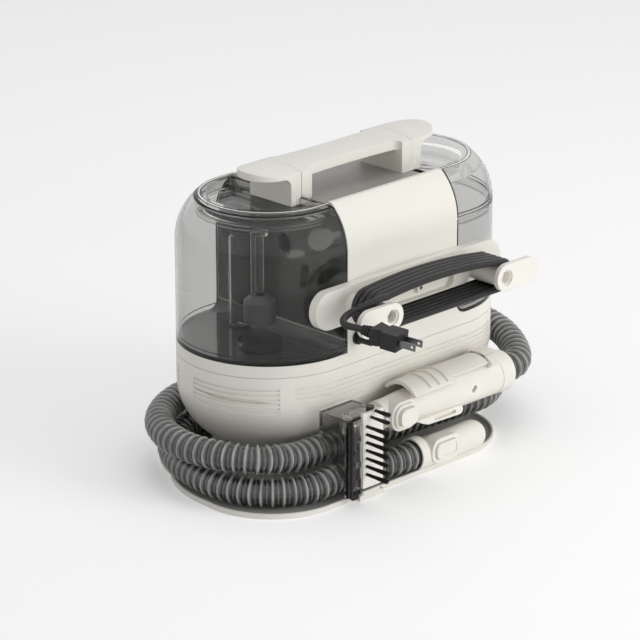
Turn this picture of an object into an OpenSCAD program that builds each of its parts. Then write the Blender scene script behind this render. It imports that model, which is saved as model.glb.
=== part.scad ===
// Portable carpet and upholstery cleaning machine.
// Long body on a low tray, two lift-off tanks either side of a centre tower,
// a cord winding on two hooks, and a ribbed hose laid round the body.
// +X runs along the body towards the clean tank, -Y is the cord side, +Z is up.

/* [Body] */
// Length of the lower body over its round ends
body_length = 358; // [352:1:372]
// Width of the lower body
body_width = 177; // [173:1:180]
// Height where the bowl starts to draw in
bowl_top = 85; // [80:1:90]
// Radius of the bowl's side
bowl_radius = 62; // [60:1:64]
// Height where the bowl meets its straight foot
bowl_foot = 30; // [28:1:34]
// Height of the seam between lower and upper shell
seam_height = 112.8; // [110:0.1:116]
// Height of the band between the seam and the ledge that the tanks stand on
ledge_band = 11.8; // [10:0.1:14]
// Height of the top rim
rim_height = 267; // [262:1:272]
// Height of the part of the sides that curves inwards below the rim
curve_rise = 45; // [40:1:50]
// How far the side curves inwards up to the rim
rim_inset = 22; // [18:1:24]
// Wall of the white housings
housing_wall = 2.6; // [2:0.1:3.2]
// Length of the centre tower
tower_length = 148.8; // [144:0.1:154]

/* [Tray] */
// Thickness of the tray's floor
tray_floor = 3; // [2.4:0.1:3.4]
// Height of the tray's lip above the floor
tray_lip = 2; // [1:0.1:2.4]
// Width of the tray's lip
tray_lip_width = 2; // [1.4:0.1:2.6]
// Corner radius of the tray's front corners
tray_corner = 75; // [70:1:78]
// Distance of the tray's front edge from the centre line
tray_front = 135; // [133:1:140]
// Distance of the left corner's centre from the middle
tray_left = 145; // [140:1:150]
// Distance of the right corner's centre from the middle
tray_right = 51; // [46:1:56]

/* [Tanks] */
// Wall of the clear tanks
tank_wall = 2.4; // [1.8:0.1:3]
// Gap between a tank and what it stands against
tank_gap = 0.4; // [0.3:0.05:0.6]
// Radius of a tank's lower edge beside the tower
tank_cove = 13; // [8:1:16]
// Height of a lid's flange
lid_flange = 3.5; // [2.6:0.1:4.5]
// Depth of the lid's dished floor below the rim
lid_depth = 10; // [8:0.5:12]

/* [Handle] */
// Rise of the handle's crown above the rim
handle_rise = 24.5; // [23:0.5:28]
// Fall of the crown at the handle's edges
crown_fall = 3.5; // [2.5:0.1:4.5]
// Half the width of the handle at its ends
grip_half_width = 28; // [25:1:31]
// Half the width of the handle in the middle
grip_waist = 19; // [16:1:22]
// Thickness of the grip bar
grip_thickness = 11.5; // [10:0.5:13]
// Radius of the corners between bar and pillars
grip_corner = 7; // [4:0.5:9]
// Length of the pillars along the handle
pillar_length = 13.4; // [11:0.1:16]

/* [Cord hooks] */
// Height of the hooks' centre line
hook_height = 176.5; // [174:0.5:179]
// Distance of each hook's post from the middle
hook_spacing = 78; // [75:1:82]
// Radius of the hooks' posts
post_radius = 10.2; // [9.8:0.1:10.4]
// Length of the bracket plate
bracket_length = 252; // [246:1:258]
// Height of the bracket plate
bracket_height = 37; // [34:1:40]
// Thickness of the bracket plate
bracket_thickness = 9.4; // [8:0.1:10]
// Reach of the posts in front of the bracket
post_reach = 47.6; // [46:0.1:50]
// Length of a hook's end plate
hook_length = 57; // [50:1:60]
// Height of a hook's end plate
hook_plate_height = 27; // [24:1:30]
// Thickness of a hook's end plate
hook_thickness = 5; // [4:0.1:6]

/* [Cord] */
// Diameter of the mains cord
cord_diameter = 6.6; // [6.4:0.1:6.7]
// Step between turns of the winding
cord_step = 6.8; // [6.75:0.05:6.85]
// Turns round the two hooks, side by side in one layer
cord_turns = 5; // [4:1:5]
// Rise of the loose upper runs at their middle
cord_arch = 6.8; // [4:0.1:8]

/* [Hose] */
// Outer diameter of the hose over its ribs
hose_diameter = 29; // [27:0.5:29]
// Depth of a rib
rib_depth = 1.9; // [1:0.1:2.2]
// Number of ribs along the hose
rib_count = 130; // [90:1:140]
// Bore of the hose
hose_bore = 20.6; // [18:0.2:21]

/* [Wand] */
// Height of the wand's axis
wand_height = 64; // [62:0.5:66]
// Distance of the wand's axis from the centre line
wand_offset = 112; // [111:0.5:115]
// Radius of the wand's grip
wand_radius = 20; // [19:0.5:20.5]
// Radius of the wand behind its neck
wand_slim_radius = 14; // [13:0.5:15]
// Radius of the air way
wand_bore = 10.5; // [9:0.5:11]
// Radius of the neck that the nozzle slides onto
neck_radius = 10; // [9.5:0.1:10.5]
// Travel of the two release buttons
button_travel = 2.5; // [1.5:0.1:3]

/* [Nozzle] */
// Height of the nozzle's mouth
nozzle_height = 75; // [70:1:77]
// Depth of the nozzle along the wand
nozzle_depth = 43; // [40:1:44]
// Wall of the clear nozzle
nozzle_wall = 2; // [1.6:0.1:2.4]
// Length of the bristles
bristle_length = 28.5; // [24:0.5:32]

/* [Inside] */
// Radius of the fan motor
motor_radius = 34; // [30:1:36]
// Length of the fan motor
motor_length = 46; // [40:1:50]
// Number of vanes on the fan
fan_vanes = 9; // [6:1:12]
// Radius of the float in the dirty tank
float_radius = 15; // [12:1:18]

/* [Hidden] */
$fn = 72;

white = [0.93, 0.92, 0.88];
smoke = [0.45, 0.45, 0.44, 0.5];
dark_grey = [0.22, 0.22, 0.21];
black = [0.07, 0.07, 0.07];
hose_grey = [0.35, 0.35, 0.34];
metal = [0.75, 0.75, 0.76];
board_green = [0.12, 0.32, 0.2];

end_radius = body_width / 2;
straight = body_length / 2 - end_radius;
ledge_height = seam_height + ledge_band;
curve_height = rim_height - curve_rise;
crown_height = rim_height + handle_rise;
curve_radius = (curve_rise * curve_rise + rim_inset * rim_inset) / (2 * rim_inset);
half_tower = tower_length / 2;
groove = 0.6;

// Seats between pieces of different bodies
fit = 0.3;
run_fit = 0.06;

vent_first = 77.4;
vent_pitch = 4.65;
vent_count = 6;
vent_height = 2.1;
vent_depth = 1.3;

deck_height = rim_height - lid_depth;
deck_thickness = housing_wall;
deck_fillet = 8;
crown_radius = (grip_half_width * grip_half_width + crown_fall * crown_fall) / (2 * crown_fall);
grip_under = crown_height - grip_thickness;
cap_plate = 7;
cap_reach = 18;
cap_corner = 9;
cap_block = 13;

tank_start = half_tower + tank_gap;
tank_base = ledge_height + tank_gap;
lid_seat = rim_height - lid_flange;
dome_seam = curve_height;
neck_wall = 1.8;
neck_bottom = deck_height - tank_wall - 5;
neck_half = end_radius - curve_radius
  + sqrt((curve_radius - tank_wall) * (curve_radius - tank_wall) - (lid_seat - curve_height) * (lid_seat - curve_height));

bracket_back = end_radius + fit;
bracket_face = end_radius + bracket_thickness;
plate_back = bracket_face + post_reach;
plate_face = plate_back + hook_thickness;
hook_inner = 13.5;

dock_offset = 124;
dock_port = -24;
dock_collar = 10;
dock_end = 59;
dock_radius = 16.2;
dock_cover_radius = 14.5;
dock_axis = tray_floor + hose_diameter / 2;
dock_button_x = 8;
dock_button_z = 19.6;
dock_button_seat = 11.5;

neck_start = -107;
slim_start = -60;
slim_end = -45;
grip_start = 34;
ring_start = 97;
ring_end = 116;
wand_button_x = -39;
wand_button_z = wand_height - 0.5;
trigger_pivot_x = 88;
trigger_inner = wand_radius + 2.5;
trigger_outer = wand_radius + 6;
trigger_pivot_z = wand_height + wand_radius + 2.8;
trigger_pin_radius = 1.4;
saddle_start = 80;
saddle_radius = wand_radius + 7.4;

nozzle_right = -84;
nozzle_left = nozzle_right - nozzle_depth;
nozzle_top = wand_height + 20.5;
nozzle_bottom = nozzle_top - nozzle_height;
nozzle_back = wand_offset - 8 - fit;
mouth_reach = 28;
nozzle_mouth = wand_offset + mouth_reach;
nozzle_back_low = wand_height - 12;
nozzle_toe = 9;
frame_reach = 4;
frame_width = 12.5;
lip_width = 6.4;
flange_width = 1.4;

motor_x = 34;
fan_z = 62;
fan_radius = 36;
pump_x = -62;

// The hose's route: out of the dock, once round the body on the tray, over its own first
// stretch beside the nozzle, once more round the body, and into the wand
hose_route = [
  [-20, -124, 17.5], [-46, -123.6, 17.5], [-82, -116.6, 17.5], [-116, -113.8, 17.5],
  [-145, -115.5, 17.5], [-172, -105, 17.5], [-193, -83, 17.5], [-203, -50, 17.5],
  [-200, -12, 17.5], [-188, 24, 17.5], [-162, 60, 17.5], [-120, 83, 17.5],
  [-70, 90, 17.5], [0, 90, 17.5], [66, 90, 17.8], [118, 82.5, 20.3],
  [158, 52, 20.6], [175, 8, 21.8], [170, -36, 26], [147, -69, 29.5],
  [110, -90, 33], [70, -92, 34.8], [20, -91, 36], [-20, -90.5, 36.6],
  [-55, -90, 37], [-88, -89.5, 38], [-120, -91, 40], [-146, -91.5, 41],
  [-170, -90, 45], [-191, -79, 47.6], [-205, -52, 48], [-211, -15, 47.6],
  [-203, 24, 47.6], [-180, 58, 47.6], [-140, 83, 47.6], [-90, 93, 47.8],
  [-20, 95, 50], [50, 98, 55], [105, 100, 61], [150, 86, 67],
  [182, 51, 71], [195, 3, 72.5], [186, -44, 71], [168, -80, 68],
  [147, -104, 65], [129, -112, 64], [100, -112, 64]
];

// The cord's two free stretches, from the gland to the winding and from there to the plug
lead_route = [
  [-61, -107.5, 137], [-61, -112.3, 137.1], [-60.6, -116.6, 138.2], [-59.3, -119.8, 140.6],
  [-57, -121.4, 144], [-53.4, -120.7, 147.8], [-48.6, -118.1, 151.4], [-42.8, -115, 154.8],
  [-36.2, -112.6, 158.1], [-29, -111.4, 160.9], [-22, -111.2, 162.2], [-16.4, -111.2, 162.4]
];
tail_route = [
  [-78.5, -141.8, 194], [-84, -141.8, 194.4], [-93, -141.4, 193.6], [-103, -138.6, 190.9],
  [-112, -134.9, 187.8], [-121, -133.4, 185], [-129, -136.2, 183], [-133.4, -142.2, 181.7],
  [-132.4, -148, 180.8], [-129.5, -153.9, 180.05], [-128.1, -159.6, 179.53]
];
plug_place = [-128, -160, 179.5];
plug_turn = 14;

// Points and tubes

function unit(v) = v / norm(v);
function across(t) = unit(cross(t, abs(t[2]) > 0.9 ? [1, 0, 0] : [0, 0, 1]));
function curve_point(a, b, c, d, t) =
  0.5 * (2 * b + (c - a) * t + (2 * a - 5 * b + 4 * c - d) * t * t + (3 * b - a - 3 * c + d) * t * t * t);
function knot(route, i) =
  i < 0 ? 2 * route[0] - route[1]
  : i >= len(route) ? 2 * route[len(route) - 1] - route[len(route) - 2]
  : route[i];
function smooth_route(route, steps) = [
  for (i = [0 : len(route) - 2], s = [0 : steps - 1])
    curve_point(knot(route, i - 1), route[i], route[i + 1], knot(route, i + 2), s / steps),
  route[len(route) - 1]
];
function running_length(path) = [
  for (i = 0, total = 0; i < len(path); i = i + 1,
    total = i < len(path) ? total + norm(path[i] - path[i - 1]) : total) total
];
function at_length(path, sums, want, low, high) =
  high - low <= 1
  ? path[low] + (path[high] - path[low]) * min(1, max(0, (want - sums[low]) / (sums[high] - sums[low])))
  : let (mid = floor((low + high) / 2))
    sums[mid] > want ? at_length(path, sums, want, low, mid) : at_length(path, sums, want, mid, high);
function even_path(path, count) =
  let (sums = running_length(path), last = len(path) - 1)
  [for (i = [0 : count]) at_length(path, sums, sums[last] * i / count, 0, last)];
function tangents(path) = [
  for (i = [0 : len(path) - 1])
    unit(path[min(i + 1, len(path) - 1)] - path[max(i - 1, 0)])
];
function carried_normals(t) = [
  for (i = 0, n = across(t[0]); i < len(t); i = i + 1,
    n = i < len(t) ? unit(n - (n * t[i]) * t[i]) : n) n
];
function tube_rings(path, radii, sides) =
  let (t = tangents(path), n = carried_normals(t))
  [for (i = [0 : len(path) - 1], k = [0 : sides - 1])
    path[i] + radii[i] * (n[i] * cos(360 * k / sides) + cross(t[i], n[i]) * sin(360 * k / sides))];
function wall_faces(rings, sides, first, outward) = [
  for (i = [0 : rings - 2], k = [0 : sides - 1])
    let (a = first + i * sides + k, b = first + i * sides + (k + 1) % sides)
    each outward
      ? [[a, b, a + sides], [b, b + sides, a + sides]]
      : [[a, a + sides, b], [b, a + sides, b + sides]]
];
function cap_faces(first, sides, turn) = [
  for (k = [1 : sides - 2]) turn ? [first, first + k, first + k + 1] : [first, first + k + 1, first + k]
];
function collar_faces(outer, inner, sides, turn) = [
  for (k = [0 : sides - 1])
    let (a = outer + k, b = outer + (k + 1) % sides, c = inner + k, d = inner + (k + 1) % sides)
    each turn ? [[a, c, b], [b, c, d]] : [[a, b, c], [b, d, c]]
];

module tube(path, radius, sides) {
  rings = len(path);
  polyhedron(
    tube_rings(path, [for (p = path) radius], sides),
    concat(
      wall_faces(rings, sides, 0, false),
      cap_faces(0, sides, true),
      cap_faces((rings - 1) * sides, sides, false)
    )
  );
}

// Least distance between stretches of a path that lie more than a few steps apart
function own_gap(path, apart, width) =
  min([for (i = [0 : len(path) - 1], j = [i + apart : 1 : len(path) - 1]) norm(path[i] - path[j])]) - width;

// Outlines round the long body

module sweep_round(reach) {
  for (turn = [0, 180])
    rotate([0, 0, turn])
      translate([reach, 0, 0])
        rotate([0, 0, -90])
          rotate_extrude(angle = 180)
            children();
  for (side = [0, 1])
    mirror([0, side, 0])
      translate([-reach, 0, 0])
        rotate([90, 0, 90])
          linear_extrude(2 * reach)
            children();
}

// One round end and the straight piece from start up to it, filled to the middle
module end_form(start) {
  translate([straight, 0, 0])
    rotate([0, 0, -90])
      rotate_extrude(angle = 180)
        children();
  translate([start, 0, 0])
    rotate([90, 0, 90])
      linear_extrude(straight - start) {
        children();
        mirror([1, 0, 0])
          children();
      }
}

// Slice across the body from start, for length, of a profile seen along +X
module cross_slice(start, length) {
  translate([start, 0, 0])
    rotate([90, 0, 90])
      linear_extrude(length) {
        children();
        mirror([1, 0, 0])
          children();
      }
}

// Side of tank and tower from low to high, drawn in by inset
module side_profile(inset, low, high) {
  intersection() {
    translate([0, low])
      square([end_radius, high - low]);
    union() {
      square([end_radius - inset, curve_height]);
      translate([end_radius - curve_radius, curve_height])
        circle(r = curve_radius - inset, $fn = 180);
      translate([0, curve_height - 1])
        square([end_radius - curve_radius + 1, curve_radius - inset]);
    }
  }
}

module bowl_profile(inset) {
  foot = end_radius - bowl_radius
    + sqrt(bowl_radius * bowl_radius - (bowl_top - bowl_foot) * (bowl_top - bowl_foot));
  translate([0, bowl_top])
    square([end_radius - inset, seam_height - bowl_top]);
  intersection() {
    translate([0, bowl_foot])
      square([end_radius, bowl_top - bowl_foot]);
    union() {
      translate([end_radius - bowl_radius, bowl_top])
        circle(r = bowl_radius - inset, $fn = 180);
      translate([0, bowl_foot])
        square([end_radius - bowl_radius, bowl_top - bowl_foot]);
    }
  }
  translate([0, tray_floor])
    square([foot - inset, bowl_foot - tray_floor]);
}

module stadium(length, height) {
  for (side = [-1, 1])
    translate([side * (length - height) / 2, 0])
      circle(d = height);
  square([length - height, height], center = true);
}

// Rectangle with round corners
module soft_box(length, height, radius) {
  square([length, height - 2 * radius], center = true);
  square([length - 2 * radius, height], center = true);
  for (x = [-1, 1], y = [-1, 1])
    translate([x * (length / 2 - radius), y * (height / 2 - radius)])
      circle(r = radius);
}

// Plate seen along +Y whose outline lies in X and Z, from near to far behind the front
module front_plate(near, far) {
  translate([0, -near, 0])
    rotate([90, 0, 0])
      linear_extrude(far - near)
        children();
}

// Tray

module tray_outline(inset) {
  translate([-tray_left, -tray_front + tray_corner])
    circle(r = tray_corner - inset, $fn = 120);
  translate([tray_right, -tray_front + tray_corner])
    circle(r = tray_corner - inset, $fn = 120);
  intersection() {
    translate([-100, -45])
      circle(r = 119 - inset, $fn = 120);
    translate([-body_length, -tray_front + tray_corner])
      square(body_length);
  }
  translate([-85, 0])
    circle(r = 110 - inset, $fn = 120);
  translate([60, 32])
    circle(r = 78 - inset, $fn = 120);
  translate([straight, 0])
    circle(r = 79 - inset, $fn = 120);
  translate([-tray_left, -tray_front + inset])
    square([tray_left + tray_right, tray_front - 30]);
  translate([-85, 0])
    square([145, 110 - inset]);
  translate([shelf_left - 3 + inset, -tray_front - shelf_reach + inset])
    square([shelf_length + 6 - 2 * inset, 40]);
}

shelf_left = -108;
shelf_length = 26;
shelf_reach = 6;
shelf_height = 8.6;

pad_places = [[-150, -80], [70, -95], [-110, 70], [90, 62]];
pad_radius = 9;
pad_depth = 1;

module tray() {
  color(white)
    difference() {
      union() {
        difference() {
          linear_extrude(tray_floor + tray_lip)
            tray_outline(0);
          translate([0, 0, tray_floor])
            linear_extrude(tray_lip + 1)
              tray_outline(tray_lip_width);
        }
        translate([shelf_left + shelf_length / 2, -tray_front - shelf_reach / 2 + 2, 0])
          linear_extrude(shelf_height)
            soft_box(shelf_length, shelf_reach + 4, 4);
      }
      for (place = pad_places)
        translate([place[0], place[1], -1])
          cylinder(r = pad_radius, h = 1 + pad_depth);
    }
}

module tray_pads() {
  color(black)
    for (place = pad_places)
      translate([place[0], place[1], 0])
        cylinder(r = pad_radius, h = pad_depth);
}

// Housings

// Block in front of a part of the vents, between two angles round one end's centre
module vent_stop(center, from, to) {
  translate([center, 0, bowl_top - 20])
    linear_extrude(40)
      polygon([
        [0, 0], [130 * cos(from), 130 * sin(from)],
        [140 * cos((from + to) / 2), 140 * sin((from + to) / 2)], [130 * cos(to), 130 * sin(to)]
      ]);
}

// Groove rings all round, with the stops between the groups left out
module vents() {
  difference() {
    sweep_round(straight)
      for (i = [0 : vent_count - 1])
        translate([end_radius - vent_depth, vent_first + i * vent_pitch - vent_height / 2])
          square([vent_depth + 1, vent_height]);
    vent_stop(-straight, 232, 241);
    vent_stop(-straight, 152, 172);
    vent_stop(straight, -60, -50);
    vent_stop(straight, 50, 60);
    translate([0, 0, bowl_top - 20])
      linear_extrude(40)
        polygon([
          [straight, 0], [straight + 140 * cos(60), 140 * sin(60)],
          [-straight + 140 * cos(100), 140 * sin(100)], [-straight, 0]
        ]);
  }
}

module lower_shell() {
  color(white)
    difference() {
      sweep_round(straight)
        difference() {
          bowl_profile(0);
          bowl_profile(housing_wall);
          translate([end_radius - 0.8, seam_height - groove])
            square([2, groove + 1]);
        }
      vents();
    }
}

port_radius = 11;
duct_port = [-tank_start - tank_wall - port_radius - 7.8, 34];
valve_port = [straight + 21.5, 0];
valve_radius = 13;

module upper_shell() {
  color(white)
    difference() {
      union() {
        sweep_round(straight)
          union() {
            translate([end_radius - housing_wall, seam_height])
              square([housing_wall, ledge_height - seam_height]);
            translate([0, ledge_height - housing_wall])
              square([end_radius, housing_wall]);
          }
        cross_slice(-half_tower, tower_length)
          difference() {
            side_profile(0, ledge_height - 1, rim_height);
            side_profile(housing_wall, ledge_height - 2, rim_height + 1);
          }
        for (turn = [0, 180])
          rotate([0, 0, turn])
            intersection() {
              cross_slice(half_tower, tank_cove)
                side_profile(0, ledge_height - 1, curve_height);
              translate([half_tower, 0, ledge_height])
                rotate([90, 0, 0])
                  linear_extrude(body_width, center = true)
                    difference() {
                      translate([-1, -1])
                        square(tank_cove + 1);
                      translate([tank_cove, tank_cove])
                        circle(r = tank_cove);
                    }
            }
      }
      translate([duct_port[0], duct_port[1], ledge_height - 10])
        cylinder(r = port_radius + fit, h = 12);
      translate([valve_port[0], valve_port[1], ledge_height - 10])
        cylinder(r = valve_radius + fit, h = 12);
      translate([-half_tower + housing_wall, -60, ledge_height - 10])
        cube([tower_length - 2 * housing_wall, 120, 14]);
      translate([power_x, end_radius - 10, power_z])
        rotate([-90, 0, 0])
          cylinder(r = power_radius + fit, h = 12);
      translate([gland_x, -end_radius + 6, gland_z])
        rotate([90, 0, 0])
          cylinder(r = gland_radius, h = 8);
    }
}

power_x = 30;
power_z = 150;
power_radius = 9;
gland_x = -61;
gland_z = 137;
gland_radius = 5.2;

module tower_panel(side) {
  color(dark_grey)
    difference() {
      cross_slice(side > 0 ? half_tower - housing_wall : -half_tower, housing_wall)
        side_profile(housing_wall, ledge_height, deck_height - deck_thickness);
      if (side < 0)
        translate([-half_tower - 1, -5.1, suction_z])
          rotate([0, 90, 0])
            cylinder(r = suction_radius, h = housing_wall + 2);
    }
}

suction_z = curve_height - 8;
suction_radius = 10;
suction_y = -5.1;
duct_floor = fan_z + 20;

module tower_panel_left() {
  tower_panel(-1);
}

module tower_panel_right() {
  tower_panel(1);
}

module deck() {
  color(white)
    difference() {
      cross_slice(-half_tower, tower_length)
        difference() {
          side_profile(housing_wall, deck_height - deck_thickness, rim_height);
          difference() {
            translate([0, deck_height])
              square([end_radius - rim_inset - housing_wall - 1.5, 20]);
            translate([end_radius - rim_inset - housing_wall - 1.5 - deck_fillet, deck_height])
              difference() {
                square(deck_fillet + 1);
                translate([0, deck_fillet])
                  circle(r = deck_fillet);
                translate([0, deck_fillet])
                  square([deck_fillet + 2, deck_fillet]);
              }
          }
        }
    }
}

// Outline of the handle seen along X, between two heights
module crown_profile(low) {
  intersection() {
    translate([-grip_half_width, low])
      square([2 * grip_half_width, crown_height - low]);
    translate([0, crown_height - crown_radius])
      circle(r = crown_radius, $fn = 360);
  }
}

module along_x(start, length) {
  translate([start, 0, 0])
    rotate([90, 0, 90])
      linear_extrude(length)
        children();
}

bar_length = tower_length - 2 * pillar_length;
bow_depth = 2;
bow_length = bar_length / 2 - grip_corner;
bow_radius = (bow_length * bow_length + bow_depth * bow_depth) / (2 * bow_depth);

// What is cut away beside the bar, at +Y, with round inner corners and a slight bow
module bar_side() {
  translate([0, grip_waist + bow_depth + grip_half_width])
    soft_box(bar_length, 2 * grip_half_width, grip_corner);
  intersection() {
    translate([0, grip_waist + bow_radius])
      circle(r = bow_radius, $fn = 360);
    translate([-bow_length, 0])
      square([2 * bow_length, 2 * grip_half_width]);
  }
}

module carry_grip() {
  color(white) {
    difference() {
      along_x(-half_tower, tower_length)
        crown_profile(grip_under);
      for (side = [0, 1])
        mirror([0, side, 0])
          translate([0, 0, grip_under - 1])
            linear_extrude(grip_thickness + 2)
              bar_side();
    }
    for (side = [0, 180])
      rotate([0, 0, side]) {
        along_x(half_tower - pillar_length, pillar_length)
          translate([-grip_half_width, deck_height])
            square([2 * grip_half_width, grip_under - deck_height]);
        translate([half_tower - pillar_length, 0, grip_under])
          rotate([90, 0, 0])
            linear_extrude(2 * grip_waist + 4, center = true)
              difference() {
                translate([-6, -6])
                  square([7, 7]);
                translate([-6, -6])
                  circle(r = 6);
              }
      }
  }
}

// Cord hooks

module cord_bracket() {
  color(white)
    difference() {
      union() {
        front_plate(bracket_back, bracket_face)
          translate([0, hook_height])
            stadium(bracket_length, bracket_height);
        front_plate(end_radius, bracket_back + 1)
          translate([0, hook_height])
            square([tower_length - 8, bracket_height - 8], center = true);
        front_plate(bracket_face - 1, bracket_face + 16)
          translate([0, hook_height])
            stadium(2 * hook_spacing - 2 * post_radius - 4, 2 * post_radius - 1);
      }
      front_plate(bracket_face + 10, bracket_face + 17)
        translate([0, hook_height])
          stadium(86, 2 * post_radius - 4);
      front_plate(bracket_face - 3, bracket_face + 12)
        translate([0, hook_height])
          circle(r = screw_radius);
      for (side = [-1, 1])
        front_plate(bracket_back - 1, bracket_face + 1)
          translate([side * hook_spacing, hook_height])
            circle(r = pivot_radius + (side > 0 ? run_fit : 0));
    }
  color(white)
    front_plate(bracket_face + 8, bracket_face + 14)
      translate([0, hook_height])
        difference() {
          circle(r = boss_radius);
          circle(r = screw_radius);
        }
}

pivot_radius = 4.5;
screw_radius = 2;
boss_radius = 4.6;
hook_recess = 7.6;

// A hook: pivot in the bracket, round post and end plate, plate reaching outwards
module cord_hook(side) {
  color(white)
    difference() {
      union() {
        front_plate(bracket_back + fit, bracket_face + 1)
          translate([side * hook_spacing, hook_height])
            circle(r = pivot_radius);
        front_plate(bracket_face + (side > 0 ? fit : 0), plate_back + 1)
          translate([side * hook_spacing, hook_height])
            circle(r = post_radius);
        front_plate(plate_back, plate_face)
          translate([side * (hook_spacing - hook_inner + hook_length / 2), hook_height])
            stadium(hook_length, hook_plate_height);
      }
      front_plate(plate_face - 9, plate_face + 1)
        translate([side * hook_spacing, hook_height])
          circle(r = hook_recess - 1.6);
      front_plate(plate_face - 2, plate_face + 1)
        translate([side * hook_spacing, hook_height])
          circle(r = hook_recess);
    }
}

module cord_hook_left() {
  cord_hook(-1);
}

module cord_hook_right() {
  cord_hook(1);
}

module hook_screws() {
  color(metal)
    for (place = [[-hook_spacing, plate_face - 9, 4], [0, bracket_face + 12, 1.9]])
      front_plate(place[1], place[1] + 2.2)
        translate([place[0], hook_height])
          difference() {
            circle(r = place[2]);
            square([3.4, 0.8], center = true);
            square([0.8, 3.4], center = true);
          }
}

module cord_gland() {
  color(white)
    translate([gland_x, 0, gland_z])
      rotate([90, 0, 0]) {
        translate([0, 0, end_radius - 5])
          difference() {
            cylinder(r = gland_radius, h = 7);
            translate([0, 0, -1])
              cylinder(d = cord_diameter, h = 9);
          }
        translate([0, 0, end_radius])
          difference() {
            cylinder(r = 7, h = 2.4);
            translate([0, 0, -1])
              cylinder(r = gland_radius - 0.2, h = 5);
          }
      }
  color(black)
    translate([gland_x, -end_radius + 5, gland_z])
      rotate([90, 0, 0])
        rotate_extrude()
          polygon([
            [0, 0], [cord_diameter / 2, 0], [cord_diameter / 2, 7], [5, 7], [5, 10], [4.4, 23.5],
            [0, 23.5]
          ]);
}

// Hose dock

module dock_form() {
  translate([dock_port, -dock_offset, dock_axis])
    rotate([0, 90, 0])
      cylinder(r = dock_radius, h = dock_collar);
  translate([dock_port + dock_collar - 1, -dock_offset, tray_floor + dock_cover_radius - 2.6])
    rotate([0, 90, 0])
      cylinder(r = dock_cover_radius, h = dock_end - dock_port - dock_collar + 1);
  translate([dock_end, -dock_offset, tray_floor + dock_cover_radius - 2.6])
    sphere(r = dock_cover_radius);
}

module dock_button_outline(grow) {
  translate([dock_button_x, dock_button_z])
    soft_box(30 + 2 * grow, 16 + 2 * grow, 6 + grow);
}

module hose_dock() {
  color(white)
    difference() {
      intersection() {
        union() {
          dock_form();
          front_plate(dock_offset + 3, dock_offset + dock_cover_radius + 1.5)
            dock_button_outline(4.6);
        }
        translate([dock_port - 1, -dock_offset - 40, tray_floor])
          cube([150, 80, 60]);
      }
      translate([dock_port - 1, -tray_front - 20, 0])
        cube([150, 20 + tray_lip_width + 0.1, tray_floor + tray_lip + 0.1]);
      translate([dock_port - 1, -dock_offset, dock_axis])
        rotate([0, 90, 0])
          cylinder(r = hose_diameter / 2 + 0.2, h = 5);
      translate([dock_port - 1, -dock_offset, dock_axis])
        rotate([0, 90, 0])
          cylinder(r = hose_bore / 2, h = dock_collar + 1);
      translate([dock_port + dock_collar - 1, -dock_offset, dock_axis - 3.4])
        rotate([0, 90, 0])
          cylinder(r = 7.6, h = dock_end - dock_port - dock_collar);
      front_plate(dock_offset + dock_button_seat, dock_offset + dock_cover_radius + 3)
        dock_button_outline(fit);
    }
}

module dock_spring() {
  color(metal)
    front_plate(dock_offset + dock_button_seat, dock_offset + dock_button_seat + 1.4)
      translate([dock_button_x, dock_button_z])
        difference() {
          circle(r = 4);
          circle(r = 2.8);
        }
}

module dock_button() {
  color(white)
    difference() {
      front_plate(dock_offset + dock_button_seat + button_travel + 1.6, dock_offset + dock_cover_radius + 4)
        dock_button_outline(0);
      front_plate(dock_offset + dock_cover_radius + 3.3, dock_offset + dock_cover_radius + 5)
        dock_button_outline(-3);
    }
}

// Wand

module about_wand() {
  translate([0, -wand_offset, wand_height])
    rotate([0, 90, 0])
      rotate_extrude($fn = 96)
        children();
}

module wand_outline() {
  polygon([
    [0, neck_start + 8], [neck_radius, neck_start + 8], [neck_radius, slim_start],
    [wand_slim_radius, slim_start], [wand_slim_radius, slim_end], [wand_radius, grip_start],
    [wand_radius, ring_start], [0, ring_start]
  ]);
}

module wand_button_outline(grow) {
  translate([wand_button_x, wand_button_z])
    soft_box(23 + 2 * grow, 17 + 2 * grow, 6.5 + grow);
}

// Blade under the wand: pointed at its left end, round at the other
module wand_blade() {
  translate([36, wand_height - 15.4])
    circle(r = 4.5);
  translate([0, wand_height - 15.4])
    polygon([[36, -4.5], [36, 4.5], [-24, 4.5], [-17, 0.5], [-8, -3]]);
}

module wand_shell() {
  color(white)
    difference() {
      union() {
        about_wand()
          wand_outline();
        front_plate(wand_offset + 2, wand_offset + 17.5)
          wand_button_outline(6);
        front_plate(wand_offset + 2, wand_offset + 20.5)
          wand_button_outline(3.4);
        front_plate(wand_offset + 6, wand_offset + 18.5)
          wand_blade();
        along_x(saddle_start, ring_start - saddle_start)
          trigger_arc(wand_radius - 2, saddle_radius, 46);
      }
      translate([neck_start, -wand_offset, wand_height])
        rotate([0, 90, 0])
          cylinder(r = neck_radius - 2.2, h = slim_start - neck_start + 10);
      translate([slim_start + 6, -wand_offset, wand_height])
        rotate([0, 90, 0])
          cylinder(r = wand_bore, h = ring_start - slim_start);
      front_plate(wand_offset + 12, wand_offset + 22)
        wand_button_outline(fit);
      front_plate(wand_offset + wand_radius - 7, wand_offset + wand_radius + 1)
        translate([54, wand_height]) {
          circle(r = 2.4);
          translate([2.2, 2])
            circle(r = 2.4);
        }
      front_plate(wand_offset + 15, wand_offset + 20)
        translate([16, wand_height - 15.2])
          stadium(30, 3.4);
      translate([saddle_start - 1, -wand_offset - 9.4, wand_height + wand_radius - 0.6])
        cube([13.6, 18.8, 6.4]);
      translate([trigger_pivot_x, -wand_offset + 12.4, trigger_pivot_z])
        rotate([90, 0, 0])
          cylinder(r = trigger_pin_radius, h = 24.8);
    }
}

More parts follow.
